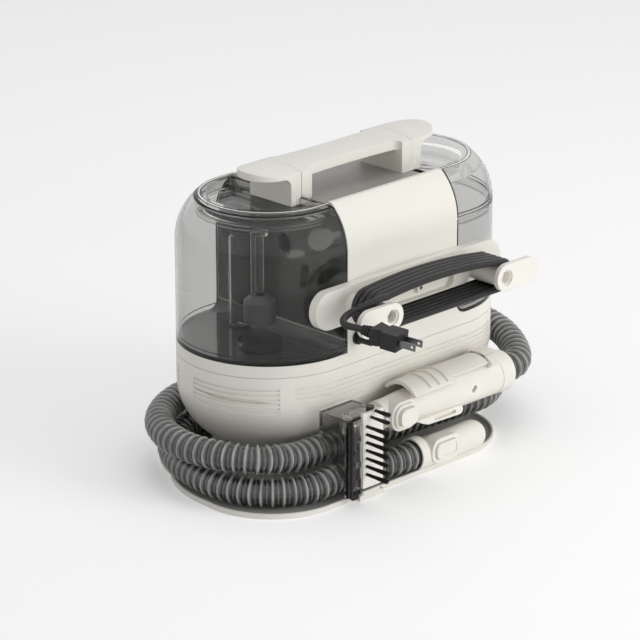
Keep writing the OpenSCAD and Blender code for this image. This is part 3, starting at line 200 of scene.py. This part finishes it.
# Heights from the middle of a rib to the middle of the groove: a narrow crest, then a low inner rib
RIB_PROFILE = (1.0, 0.88, 0.5, 0.14, 0.0, 0.0, 0.08, 0.24, 0.34)
RINGS_PER_RIB = 2 * (len(RIB_PROFILE) - 1)


def crest(ring):
    """How high the hose's wall stands at a ring, from 0 in the groove to 1."""
    step = ring % RINGS_PER_RIB
    return RIB_PROFILE[min(step, RINGS_PER_RIB - step)]


def make_hose():
    count = HOSE_RIBS * RINGS_PER_RIB
    path = even_path(smooth_route(HOSE_ROUTE, ROUTE_STEPS), count)
    crests = [crest(i) for i in range(count + 1)]
    radii = [HOSE_RADIUS - RIB_DEPTH * (1 - height) for height in crests]
    outer = rings_along(path, radii, HOSE_SIDES)
    bore_path = path[::INNER_SKIP]
    inner = rings_along(bore_path, [HOSE_BORE] * len(bore_path), HOSE_SIDES)
    points = [p for ring in outer + inner for p in ring]
    first = len(outer) * HOSE_SIDES
    last = len(points) - HOSE_SIDES
    faces = wall_faces(0, len(outer), HOSE_SIDES)
    faces += wall_faces(first, len(inner), HOSE_SIDES, outward=False)
    for k in range(HOSE_SIDES):
        n = (k + 1) % HOSE_SIDES
        faces.append((k, first + k, first + n, n))
        a = (len(outer) - 1) * HOSE_SIDES
        faces.append((a + k, a + n, last + n, last + k))
    mesh = bpy.data.meshes.new("hose_ribbed")
    mesh.from_pydata(points, [], faces)
    mesh.update()
    # Rib height at each point, which the hose material turns into painted shade in the grooves and a
    # painted highlight on the crests; the bore gets 0
    ribs = mesh.color_attributes.new("rib", "FLOAT_COLOR", "POINT")
    for i in range(len(points)):
        height = crests[i // HOSE_SIDES] if i < first else 0.0
        ribs.data[i].color = (height, height, height, 1)
    hose = link("hose_ribbed", mesh, "machine")
    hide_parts("hose")
    return hose


# Mains cord: gland, one layer on the hooks, tail and plug

CORD_DIAMETER = 6.6
LEAD_ROUTE = [
    (-61, -107.5, 137), (-61, -112.3, 137.1), (-60.6, -116.6, 138.2), (-59.3, -119.8, 140.6),
    (-57, -121.4, 144), (-53.4, -120.7, 147.8), (-48.6, -118.1, 151.4), (-42.8, -115, 154.8),
    (-36.2, -112.6, 158.1), (-29, -111.4, 160.9), (-22, -111.2, 162.2), (-16.4, -111.2, 162.4),
]
TAIL_ROUTE = [
    (-78.5, -141.8, 194), (-84, -141.8, 194.4), (-93, -141.4, 193.6), (-103, -138.6, 190.9),
    (-112, -134.9, 187.8), (-121, -133.4, 185), (-129, -136.2, 183), (-133.4, -142.2, 181.7),
    (-132.4, -148, 180.8), (-129.5, -153.9, 180.05), (-128.1, -159.6, 179.53),
]
HOOK_HEIGHT = 176.5
HOOK_SPACING = 78.0
CORD_STEP = 6.8
CORD_TURNS = 5
CORD_ARCH = 6.8
POST_RADIUS = 10.2
CORD_GAP = 0.6
HOOK_FACE = -145.5
FACE_GAP = 0.4
WINDING_RADIUS = POST_RADIUS + CORD_DIAMETER / 2 + CORD_GAP
WINDING_SLACK = CORD_ARCH / 2
WINDING_REAR = HOOK_FACE + CORD_DIAMETER / 2 + FACE_GAP + CORD_STEP * (CORD_TURNS - 0.5)
ARC_STEPS = 24
ARCH_STEPS = 24
CORD_ROUTE_STEPS = 8
CORD_SIDES = 20


def winding_point(half, part):
    """Place on a half turn round one post; the upper side stands off the left post."""
    side = 1 if half % 2 == 0 else -1
    angle = math.radians((-90 if side > 0 else 90) + 180 * part)
    radius = WINDING_RADIUS + (0 if side > 0 else WINDING_SLACK * (1 - part))
    return Vector((
        side * HOOK_SPACING + radius * math.cos(angle),
        WINDING_REAR - CORD_STEP * (half + part) / 2,
        HOOK_HEIGHT + radius * math.sin(angle),
    )) * MM


def arch_point(half, part):
    """Place on the upper run that follows a half turn, arched between the posts."""
    rise = (4 * CORD_ARCH - WINDING_SLACK) * part + (2 * WINDING_SLACK - 4 * CORD_ARCH) * part * part
    return Vector((
        HOOK_SPACING * (1 - 2 * part),
        WINDING_REAR - CORD_STEP * (half + 1) / 2,
        HOOK_HEIGHT + WINDING_RADIUS + rise,
    )) * MM


def make_cord():
    path = smooth_route(LEAD_ROUTE, CORD_ROUTE_STEPS)
    for half in range(2 * CORD_TURNS - 1):
        path += [winding_point(half, step / ARC_STEPS) for step in range(ARC_STEPS + 1)]
        if half % 2 == 0:
            path += [arch_point(half, step / ARCH_STEPS) for step in range(1, ARCH_STEPS)]
    path.append(arch_point(2 * CORD_TURNS - 2, 1))
    path += smooth_route(TAIL_ROUTE, CORD_ROUTE_STEPS)
    cord = link(
        "mains_cord",
        tube_mesh("mains_cord", path, [CORD_DIAMETER / 2 * MM] * len(path), CORD_SIDES),
        "machine",
    )
    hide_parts("cord_lead", "cord_winding", "cord_tail")
    return cord


hose = make_hose()
mains_cord = make_cord()

# Brush: white plate and nine tufts of single hairs in place of the plain strands

plate_low, plate_high = corners_mm("bristle_plate")
NOZZLE_BOTTOM = corners_mm("nozzle_shell")[0][2]
MOUTH = corners_mm("nozzle_frame")[0][1]
PLATE_LEFT = plate_low[0]
PLATE_RIGHT = plate_high[0]
PLATE_DEPTH = plate_high[1] - MOUTH
PLATE_HEIGHT = 74.5
PLATE_LIFT = 3.5
PLATE_ROUNDING = 0.9
TUFT_ROWS = 9
TUFT_PITCH = 7.93
TUFT_HAIRS = 70
TUFT_LENGTH = MOUTH - plate_low[1]
TUFT_INSET = 4.2
TUFT_BASE = 18.0
STEP_RIGHT = 5.6
STEP_DOWN = 3.2
STEP_SHORTER = 4.4
TUFT_FOOT_RADIUS = 1.35
TUFT_SPREAD = 1.05
UNEVEN_TIPS = 1.2
SPREAD_POWER = 1.5
HAIR_SEED = 7
HAIR_SIDES = 4
HAIR_ROOT = 0.3
# Share of a hair's length and its radius there
HAIR_RINGS = ((0.0, 0.16), (0.45, 0.2), (1.0, 0.17))
SOCKET_FOOT = 2.3
SOCKET_TOP = 1.9
SOCKET_DEPTH = 0.7
SOCKET_LIFT = 0.25
SOCKET_SIDES = 24


def row_step(row):
    """The two rows at the top stand further right and are shorter."""
    return max(0, row - TUFT_ROWS + 3)


def tuft_foot(row):
    return (
        PLATE_LEFT + TUFT_INSET + STEP_RIGHT * row_step(row),
        NOZZLE_BOTTOM + TUFT_BASE + TUFT_PITCH * row - STEP_DOWN * max(0, row_step(row) - 1),
    )


def make_tufts():
    random = Random(HAIR_SEED)
    points = []
    faces = []
    for row in range(TUFT_ROWS):
        x, z = tuft_foot(row)
        tip_y = MOUTH - TUFT_LENGTH + STEP_SHORTER * row_step(row)
        for _ in range(TUFT_HAIRS):
            turn = random.uniform(0, 2 * math.pi)
            reach = math.sqrt(random.uniform(0, 1))
            start = len(points)
            shortfall = random.uniform(0.0, UNEVEN_TIPS)
            for share, radius in HAIR_RINGS:
                spread = (TUFT_FOOT_RADIUS + TUFT_SPREAD * share ** SPREAD_POWER) * reach
                middle = (
                    x + spread * math.cos(turn),
                    MOUTH + HAIR_ROOT + (tip_y + shortfall - MOUTH) * share,
                    z + spread * math.sin(turn),
                )
                for k in range(HAIR_SIDES):
                    angle = 2 * math.pi * k / HAIR_SIDES
                    points.append(Vector((
                        middle[0] + radius * math.cos(angle),
                        middle[1],
                        middle[2] + radius * math.sin(angle),
                    )) * MM)
            faces += wall_faces(start, len(HAIR_RINGS), HAIR_SIDES, outward=False)
            faces.append(tuple(range(len(points) - HAIR_SIDES, len(points))))
    mesh = bpy.data.meshes.new("brush_tufts")
    mesh.from_pydata(points, [], faces)
    mesh.update()
    tufts = link("brush_tufts", mesh, "nozzle")
    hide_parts("bristle_plate")
    return tufts


def make_brush_plate():
    """Plate with rounded edges and a low socket round each tuft."""
    mesh = bpy.data.meshes.new("brush_plate")
    shape = bmesh.new()
    size = Vector((PLATE_RIGHT - PLATE_LEFT, PLATE_DEPTH, PLATE_HEIGHT)) * MM
    centre = Vector((
        (PLATE_LEFT + PLATE_RIGHT) / 2,
        MOUTH + PLATE_DEPTH / 2,
        NOZZLE_BOTTOM + PLATE_LIFT + PLATE_HEIGHT / 2,
    )) * MM
    place = Matrix.Translation(centre) @ Matrix.Diagonal((*size, 1))
    bmesh.ops.create_cube(shape, size=1.0, matrix=place)
    bmesh.ops.bevel(
        shape,
        geom=shape.edges[:],
        offset=PLATE_ROUNDING * MM,
        segments=3,
        profile=0.5,
        affect="EDGES",
        clamp_overlap=True,
    )
    for row in range(TUFT_ROWS):
        x, z = tuft_foot(row)
        foot = Matrix.Translation(Vector((x, MOUTH - SOCKET_LIFT, z)) * MM)
        bmesh.ops.create_cone(
            shape,
            cap_ends=True,
            segments=SOCKET_SIDES,
            radius1=SOCKET_FOOT * MM,
            radius2=SOCKET_TOP * MM,
            depth=SOCKET_DEPTH * MM,
            matrix=foot @ Matrix.Rotation(math.pi / 2, 4, "X"),
        )
    shape.to_mesh(mesh)
    shape.free()
    plate = link("brush_plate", mesh, "nozzle", smooth=False)
    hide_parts("bristle_plate")
    return plate


tufts = make_tufts()
brush_plate = make_brush_plate()

# Dark beads along the clear tanks' rims, bases and the edges by the tower: painted shade lines where the
# clear plastic's edges look dark

tank_low, tank_high = corners_mm("clean_tank_shell")
TANK_FLAT = tank_low[0]
TANK_BASE = tank_low[2]
END_RADIUS = tank_high[1]
END_MIDDLE = tank_high[0] - END_RADIUS
RIM_HEIGHT = corners_mm("clean_lid")[1][2]
CURVE_START = 222.0
CURVE_RADIUS = 57.02
EDGE_DEPTH = 1.1
ARC_POINTS = 64
TOWER_STEPS = 24
BEAD_SIDES = 10
# Radii of the beads, and where they lie above a base or within a rim
BASE_BEAD = 0.45
TOWER_BEAD = 0.9
RIM_BEAD = 0.4
JOINT_BEAD = 0.5
# The pale bead is the lid rim's painted highlight
PALE_BEAD = 0.85
BASE_RISES = (1.6, 6.4)
JOINT_RISES = (0.7, 4.0)
RIM_DEPTHS = (0.7, 4.2)
PALE_DEPTH = 2.4
RIM_SINK = 0.6
PALE_SINK = 1.0
# How far the beads by the tower stop short of the edge below, and of the one above
FOOT_SHORT = 1.0
DIRTY_TANK_SHORT = 4.0
CLEAN_TANK_SHORT = 2.0
CLEAN_LID_SHORT = 1.0


def inset_at(height):
    """How far the tank's side stands in from the body's outline at a height."""
    rise = max(0.0, height - CURVE_START)
    return CURVE_RADIUS - math.sqrt(CURVE_RADIUS * CURVE_RADIUS - rise * rise)


def round_line(side, inset, height):
    """Front to back round a tank's outer end; side is -1 for the dirty tank and 1 for the clean one."""
    radius = END_RADIUS - inset
    flat = TANK_FLAT + EDGE_DEPTH
    outline = [(flat, -radius)]
    for i in range(ARC_POINTS + 1):
        turn = math.pi * (i / ARC_POINTS - 0.5)
        outline.append((END_MIDDLE + radius * math.cos(turn), radius * math.sin(turn)))
    outline.append((flat, radius))
    return [Vector((side * x, y, height)) * MM for x, y in outline]


def tower_line(side, end, low, high):
    """Up a tank's edge beside the tower; end is -1 in front and 1 behind."""
    heights = [low + (high - low) * i / TOWER_STEPS for i in range(TOWER_STEPS + 1)]
    return [
        Vector((side * (TANK_FLAT + EDGE_DEPTH), end * (END_RADIUS - inset_at(h) - EDGE_DEPTH), h)) * MM
        for h in heights
    ]


def make_edges(name, body, lines):
    """One object with a closed tube for each line and its radius in mm."""
    points = []
    faces = []
    for path, radius in lines:
        first = len(points)
        rings = rings_along(path, [radius * MM] * len(path), BEAD_SIDES)
        points += [p for ring in rings for p in ring]
        faces += wall_faces(first, len(rings), BEAD_SIDES)
        faces.append(tuple(range(first, first + BEAD_SIDES))[::-1])
        faces.append(tuple(range(len(points) - BEAD_SIDES, len(points))))
    mesh = bpy.data.meshes.new(name)
    mesh.from_pydata(points, [], faces)
    mesh.update()
    return link(name, mesh, body)


def base_beads(side):
    return [(round_line(side, EDGE_DEPTH, TANK_BASE + rise), BASE_BEAD) for rise in BASE_RISES]


def tower_beads(side, low, high):
    return [(tower_line(side, end, low, high), TOWER_BEAD) for end in (-1, 1)]


def rim_beads(side):
    rim = RIM_HEIGHT - RIM_SINK
    return [(round_line(side, inset_at(rim) + depth, rim), RIM_BEAD) for depth in RIM_DEPTHS]


def make_all_edges():
    """The dirty tank is one piece up to its rim; the clean tank's lid starts where its side curves in."""
    foot = TANK_BASE + FOOT_SHORT
    dirty = base_beads(-1) + tower_beads(-1, foot, RIM_HEIGHT - DIRTY_TANK_SHORT)
    clean = base_beads(1) + tower_beads(1, foot, CURVE_START - CLEAN_TANK_SHORT)
    dirty_lid = rim_beads(-1)
    clean_lid = rim_beads(1)
    clean_lid += [(round_line(1, EDGE_DEPTH, CURVE_START + rise), JOINT_BEAD) for rise in JOINT_RISES]
    clean_lid += tower_beads(1, CURVE_START + FOOT_SHORT, RIM_HEIGHT - CLEAN_LID_SHORT)
    return [
        make_edges("dirty_tank_shade_lines", "dirty_tank", dirty),
        make_edges("clean_tank_shade_lines", "clean_tank", clean),
        make_edges("dirty_lid_shade_lines", "dirty_tank_lid", dirty_lid),
        make_edges("clean_lid_shade_lines", "clean_tank_lid", clean_lid),
    ]


def make_rim_highlight(name, body, side):
    """Painted highlight: a pale band between the two dark lines of a lid's rim."""
    height = RIM_HEIGHT - PALE_SINK
    return make_edges(name, body, [(round_line(side, inset_at(height) + PALE_DEPTH, height), PALE_BEAD)])


edges = make_all_edges()
rims = [make_rim_highlight("dirty_lid_rim_highlight", "dirty_tank_lid", -1), make_rim_highlight("clean_lid_rim_highlight", "clean_tank_lid", 1)]

# Materials

EDGE_ROUNDING = 0.0007
GRAIN_DEPTH = 0.00012
RIPPLE_DEPTH = 0.0003
PLASTIC_IOR = 1.48
# Rises of the surface's normal between which a floor starts to count as facing up, or always does
FACING_UP = (0.9, 0.95)
ANY_FACING = (-3.0, -2.0)
STEP_WIDTH = 0.1 * MM
BEVEL_SAMPLES = 6
# Further than the machine reaches on any side
FAR = 1.0


class Shader:
    """Small helper round a material's node tree."""

    def __init__(self, name):
        self.material = bpy.data.materials.new(name)
        self.material.use_nodes = True
        self.tree = self.material.node_tree
        self.main = self.tree.nodes["Principled BSDF"]

    def add(self, kind, **settings):
        made = self.tree.nodes.new(kind)
        for key, value in settings.items():
            setattr(made, key, value)
        return made

    def wire(self, source, target):
        self.tree.links.new(source, target)

    def set(self, **values):
        for key, value in values.items():
            self.main.inputs[key.replace("_", " ")].default_value = value

    def noise(self, scale, detail=4.0):
        place = self.add("ShaderNodeTexCoord")
        made = self.add("ShaderNodeTexNoise")
        made.inputs["Scale"].default_value = scale
        made.inputs["Detail"].default_value = detail
        self.wire(place.outputs["Object"], made.inputs["Vector"])
        return made.outputs["Fac"]

    def ramp(self, source, low, high, start=0.3, end=0.7):
        made = self.add("ShaderNodeMapRange")
        made.inputs["From Min"].default_value = start
        made.inputs["From Max"].default_value = end
        made.inputs["To Min"].default_value = low
        made.inputs["To Max"].default_value = high
        self.wire(source, made.inputs["Value"])
        return made.outputs["Result"]

    def mix(self, factor, first, second):
        """Mixes two colours; each is three numbers or another node's output."""
        made = self.add("ShaderNodeMix", data_type="RGBA")
        self.wire(factor, made.inputs[0])
        sockets = [one for one in made.inputs if one.type == "RGBA"]
        for socket, colour in zip(sockets, (first, second)):
            if isinstance(colour, tuple):
                socket.default_value = (*colour, 1)
            else:
                self.wire(colour, socket)
        return [one for one in made.outputs if one.type == "RGBA"][0]

    def relief(self, height, strength, distance, edge=0.0):
        bump = self.add("ShaderNodeBump")
        bump.inputs["Strength"].default_value = strength
        bump.inputs["Distance"].default_value = distance
        self.wire(height, bump.inputs["Height"])
        if edge:
            bevel = self.add("ShaderNodeBevel")
            bevel.samples = BEVEL_SAMPLES
            bevel.inputs["Radius"].default_value = edge
            self.wire(bevel.outputs["Normal"], bump.inputs["Normal"])
        self.wire(bump.outputs["Normal"], self.main.inputs["Normal"])


def shift(colour, factor):
    return tuple(min(1.0, c * factor) for c in colour)


def moulded(name, colour, roughness, grain=900.0, edge=EDGE_ROUNDING, strength=0.12, variation=0.03):
    """Moulded plastic: faint mottling, fine spark-eroded grain, softened edges."""
    shader = Shader(name)
    mottle = shader.noise(14.0, 3.0)
    paler, darker = shift(colour, 1 + variation), shift(colour, 1 - variation)
    tone = shader.mix(shader.ramp(mottle, 0, 1), darker, paler)
    shader.wire(tone, shader.main.inputs["Base Color"])
    shader.wire(
        shader.ramp(shader.noise(60.0, 5.0), roughness - 0.04, roughness + 0.05),
        shader.main.inputs["Roughness"],
    )
    shader.relief(shader.noise(grain, 2.0), strength, GRAIN_DEPTH, edge)
    shader.set(IOR=PLASTIC_IOR)
    return shader.material


def floored(name, pale, dark_tone, low, high=FAR, reach=FAR, level=True, roughness=0.36):
    """Pale plastic, dark from low to high and left of reach, and only where it faces up if level."""
    shader = Shader(name)
    mottle = shader.noise(14.0, 3.0)
    tone = shader.mix(shader.ramp(mottle, 0, 1), shift(pale, 0.97), shift(pale, 1.03))
    dark_tone = shader.mix(shader.ramp(mottle, 0, 1), shift(dark_tone, 0.9), shift(dark_tone, 1.1))
    place = shader.add("ShaderNodeTexCoord")
    spot = shader.add("ShaderNodeSeparateXYZ")
    shader.wire(place.outputs["Object"], spot.inputs[0])
    facing = shader.add("ShaderNodeSeparateXYZ")
    shader.wire(place.outputs["Normal"], facing.inputs[0])
    covering = shader.ramp(facing.outputs["Z"], 0, 1, *(FACING_UP if level else ANY_FACING))
    for source, start, end in (
        (spot.outputs["Z"], high + STEP_WIDTH, high),
        (spot.outputs["Z"], low - STEP_WIDTH, low),
        (spot.outputs["X"], reach + STEP_WIDTH, reach),
    ):
        both = shader.add("ShaderNodeMath", operation="MULTIPLY")
        shader.wire(covering, both.inputs[0])
        shader.wire(shader.ramp(source, 0, 1, start, end), both.inputs[1])
        covering = both.outputs[0]
    shader.wire(shader.mix(covering, tone, dark_tone), shader.main.inputs["Base Color"])
    shader.wire(
        shader.ramp(shader.noise(60.0, 5.0), roughness, roughness + 0.09),
        shader.main.inputs["Roughness"],
    )
    shader.relief(shader.noise(900.0, 2.0), 0.12, GRAIN_DEPTH, EDGE_ROUNDING)
    shader.set(IOR=PLASTIC_IOR)
    return shader.material


def clear(name, colour, roughness=0.03, shadow=0.25, edge=0.0, bend=1.14, ripple=0.05):
    """Clear moulded plastic; shadow is the share of light that it keeps back and bend its index."""
    shader = Shader(name)
    shader.wire(
        shader.mix(shader.ramp(shader.noise(9.0), 0, 1), shift(colour, 0.97), shift(colour, 1.03)),
        shader.main.inputs["Base Color"],
    )
    shader.wire(
        shader.ramp(shader.noise(45.0), roughness, roughness + 0.03),
        shader.main.inputs["Roughness"],
    )
    path = shader.add("ShaderNodeLightPath")
    open_to_light = shader.add("ShaderNodeMapRange")
    open_to_light.inputs["To Min"].default_value = 1.0
    open_to_light.inputs["To Max"].default_value = shadow
    shader.wire(path.outputs["Is Shadow Ray"], open_to_light.inputs["Value"])
    shader.wire(open_to_light.outputs["Result"], shader.main.inputs["Alpha"])
    shader.relief(shader.noise(22.0, 2.0), ripple, RIPPLE_DEPTH, edge)
    shader.set(IOR=bend, Transmission_Weight=1.0, Coat_Weight=0.4, Coat_Roughness=0.03, Coat_IOR=1.5)
    return shader.material


def ribbed(name):
    """Smoky clear hose plastic, uneven and glossy on the ribs, with painted shade in the grooves and a
    painted highlight on each crest.
    """
    shader = Shader(name)
    rib = shader.add("ShaderNodeAttribute", attribute_name="rib")
    mottle = shader.noise(60.0, 4.0)
    rib_light_and_shade = shader.ramp(rib.outputs["Fac"], 0, 1, 0.05, 0.95)
    rib_light_shade_and_mottle = shader.add("ShaderNodeMath", operation="MULTIPLY")
    shader.wire(rib_light_and_shade, rib_light_shade_and_mottle.inputs[0])
    shader.wire(shader.ramp(mottle, 0.55, 1.0), rib_light_shade_and_mottle.inputs[1])
    # Near black in the grooves as painted shade, pale on the crests as painted highlight
    shader.wire(
        shader.mix(rib_light_shade_and_mottle.outputs[0], (0.03, 0.03, 0.029), (0.66, 0.66, 0.64)),
        shader.main.inputs["Base Color"],
    )
    shader.wire(shader.ramp(shader.noise(120.0), 0.08, 0.2), shader.main.inputs["Roughness"])
    shader.relief(shader.noise(320.0, 3.0), 0.6, 0.0005)
    shader.set(IOR=1.42, Transmission_Weight=0.35, Coat_Weight=1.0, Coat_Roughness=0.05)
    return shader.material


def steel(name, colour):
    """Metal with a fine brushed grain."""
    shader = Shader(name)
    brushed = shader.noise(350.0, 6.0)
    tone = shader.mix(shader.ramp(brushed, 0, 1), shift(colour, 0.9), shift(colour, 1.1))
    shader.wire(tone, shader.main.inputs["Base Color"])
    shader.wire(shader.ramp(brushed, 0.22, 0.4), shader.main.inputs["Roughness"])
    shader.relief(brushed, 0.08, 0.0001)
    shader.set(Metallic=1.0)
    return shader.material


IVORY = (0.86, 0.835, 0.77)
TRAY_FLOOR = 3.0 * MM
FLOOR_MARGIN = 0.3 * MM
TOWER_MARGIN = 0.2 * MM
LEDGE_MARGIN = 0.6 * MM
# Just right of the dirty tank's flat wall, and just under its base
TOWER_LEFT = TOWER_MARGIN - TANK_FLAT * MM
LEDGE = TANK_BASE * MM - LEDGE_MARGIN

white = moulded("ivory_plastic", IVORY, 0.4)
# The tray is darker grey where its floor faces up at floor height
tray_white = floored(
    "tray_plastic",
    shift(IVORY, 0.92),
    (0.33, 0.33, 0.32),
    low=TRAY_FLOOR - FLOOR_MARGIN,
    high=TRAY_FLOOR + FLOOR_MARGIN,
)
# The upper shell turns near black left of the tower, from just under the dirty tank's base upward
ledge_white = floored(
    "ledge_plastic",
    IVORY,
    (0.055, 0.055, 0.053),
    low=LEDGE,
    reach=TOWER_LEFT,
    level=False,
)
# Mid grey plastic, darkened further as painted shade for the recess under the handle
deck_grey_and_shade = moulded("deck_plastic_and_shade", (0.36, 0.35, 0.325), 0.4)
panel_grey = moulded("panel_plastic", (0.055, 0.055, 0.052), 0.45)
dark = moulded("dark_plastic", (0.035, 0.035, 0.035), 0.4)
rubber = moulded(
    "black_rubber",
    (0.012, 0.012, 0.012),
    0.55,
    grain=1400.0,
    edge=0.0003,
    strength=0.3,
    variation=0.2,
)
cord_rubber = moulded(
    "cord_rubber",
    (0.014, 0.014, 0.014),
    0.42,
    grain=700.0,
    edge=0.0,
    strength=0.15,
    variation=0.15,
)
bristle = moulded(
    "bristle_nylon",
    (0.01, 0.01, 0.01),
    0.35,
    grain=500.0,
    edge=0.0,
    strength=0.1,
    variation=0.3,
)
tank_clear = clear("tank_plastic", (0.82, 0.82, 0.81), edge=0.0012)
lid_clear = clear("lid_plastic", (0.9, 0.9, 0.89), edge=0.0012, bend=1.05)
inner_clear = clear("duct_plastic", (0.70, 0.70, 0.69), 0.06)
nozzle_clear = clear("nozzle_plastic", (0.70, 0.70, 0.69), 0.05, shadow=0.35, edge=0.0008)
frame_clear = clear("frame_plastic", (0.9, 0.9, 0.89), shadow=0.3, edge=0.0005)
# Near black for the tanks' bead lines, which are painted shade
edge_shade_paint = moulded("edge_shade_paint", (0.02, 0.02, 0.02), 0.15, edge=0.0)
# Pale for the band on each lid's rim, which is a painted highlight
rim_highlight_paint = moulded("rim_highlight_paint", (0.8, 0.8, 0.78), 0.2, edge=0.0)
seal_clear = clear("seal_silicone", (0.74, 0.74, 0.73), 0.18, shadow=0.3)
hose_clear = ribbed("hose_plastic")
metal = steel("plated_steel", (0.62, 0.62, 0.63))
blade_metal = steel("blade_metal", (0.2, 0.2, 0.2))
board = moulded("circuit_board", (0.03, 0.14, 0.07), 0.4)

DRESS = {
    white: (
        "lower_shell carry_grip cord_bracket cord_hook_left cord_hook_right hose_dock "
        "wand_shell wand_end_ring dirty_end_cap clean_end_cap clean_tank_valve spray_trigger nozzle_button "
        "dock_button"
    ),
    tray_white: "tray",
    ledge_white: "upper_shell",
    deck_grey_and_shade: "deck",
    panel_grey: "tower_panel_left tower_panel_right",
    dark: "fan_housing water_pump exhaust_duct suction_duct float_ball power_button spray_tip",
    rubber: (
        "tray_pads valve_plunger nozzle_lip cord_gland plug_body cord_lead cord_winding cord_tail"
    ),
    seal_clear: "dirty_lid_seal clean_lid_seal",
    tank_clear: "dirty_tank_shell clean_tank_shell",
    lid_clear: "dirty_lid clean_lid",
    inner_clear: "dirty_tank_duct float_post water_pipe spray_pipe",
    nozzle_clear: "nozzle_shell",
    frame_clear: "nozzle_frame",
    bristle: "bristle_plate",
    hose_clear: "hose",
    metal: "hook_screws dock_spring trigger_pin fan_motor fan_wheel",
    blade_metal: "plug_blades",
    board: "control_board",
}


def dress(obj, material):
    """Gives an object one material, whatever slots it came with."""
    if not obj.data.materials:
        obj.data.materials.append(material)
    for i in range(len(obj.data.materials)):
        obj.data.materials[i] = material


for material, names in DRESS.items():
    for name in names.split():
        dress(nodes[name], material)
dress(hose, hose_clear)
dress(mains_cord, cord_rubber)
dress(tufts, bristle)
dress(brush_plate, white)
for edge in edges:
    dress(edge, edge_shade_paint)
for rim in rims:
    dress(rim, rim_highlight_paint)

# Floor, light

FLOOR_REACH = 30.0
# White of the floor, and what the camera sees on top of it so that the background comes out white
FLOOR_WHITE = 0.97
FLOOR_LIFT = 0.21
AMBIENT = 0.5
MIDDLE = (0, 0, 0.12)
# Name, place, width in metres and power in watts of each lamp
LAMPS = (
    ("key", (1.2, -2.7, 1.05), 2.0, 37),
    ("top", (0.4, 0.2, 2.6), 1.8, 10),
    ("low", (-0.6, -2.6, 0.2), 1.0, 9),
)


def make_floor():
    mesh = bpy.data.meshes.new("floor")
    corners = [(x * FLOOR_REACH, y * FLOOR_REACH, 0) for x, y in ((-1, -1), (1, -1), (1, 1), (-1, 1))]
    mesh.from_pydata(corners, [], [(0, 1, 2, 3)])
    floor = bpy.data.objects.new("floor", mesh)
    bpy.context.scene.collection.objects.link(floor)
    shader = Shader("floor_paper")
    shader.set(
        Base_Color=(FLOOR_WHITE, FLOOR_WHITE, FLOOR_WHITE, 1),
        Roughness=0.9,
        Specular_IOR_Level=0.0,
        Emission_Color=(1, 1, 1, 1),
    )
    path = shader.add("ShaderNodeLightPath")
    lift = shader.add("ShaderNodeMath", operation="MULTIPLY")
    lift.inputs[1].default_value = FLOOR_LIFT
    shader.wire(path.outputs["Is Camera Ray"], lift.inputs[0])
    shader.wire(lift.outputs[0], shader.main.inputs["Emission Strength"])
    dress(floor, shader.material)


def area_light(name, place, size, energy):
    """Round lamp aimed at the machine, which leaves no bright disc in the clear tanks."""
    data = bpy.data.lights.new(name, "AREA")
    data.shape = "DISK"
    data.size = size
    data.energy = energy
    light = bpy.data.objects.new(name, data)
    light.location = place
    light.rotation_euler = (Vector(MIDDLE) - Vector(place)).to_track_quat("-Z", "Y").to_euler()
    light.visible_glossy = False
    bpy.context.scene.collection.objects.link(light)


def make_world():
    """White to the camera and in clear or shiny pieces, and softer as light on the rest."""
    world = bpy.data.worlds.new("studio")
    world.use_nodes = True
    bpy.context.scene.world = world
    tree = world.node_tree
    background = tree.nodes["Background"]
    path = tree.nodes.new("ShaderNodeLightPath")
    seen = path.outputs["Is Camera Ray"]
    for other in ("Is Glossy Ray", "Is Transmission Ray"):
        either = tree.nodes.new("ShaderNodeMath")
        either.operation = "MAXIMUM"
        tree.links.new(seen, either.inputs[0])
        tree.links.new(path.outputs[other], either.inputs[1])
        seen = either.outputs[0]
    mix = tree.nodes.new("ShaderNodeMapRange")
    mix.inputs["To Min"].default_value = AMBIENT
    mix.inputs["To Max"].default_value = 1.0
    tree.links.new(seen, mix.inputs["Value"])
    tree.links.new(mix.outputs["Result"], background.inputs["Strength"])
    background.inputs["Color"].default_value = (1, 1, 1, 1)


make_floor()
make_world()
for lamp in LAMPS:
    area_light(*lamp)

bpy.context.scene.view_settings.view_transform = "Standard"
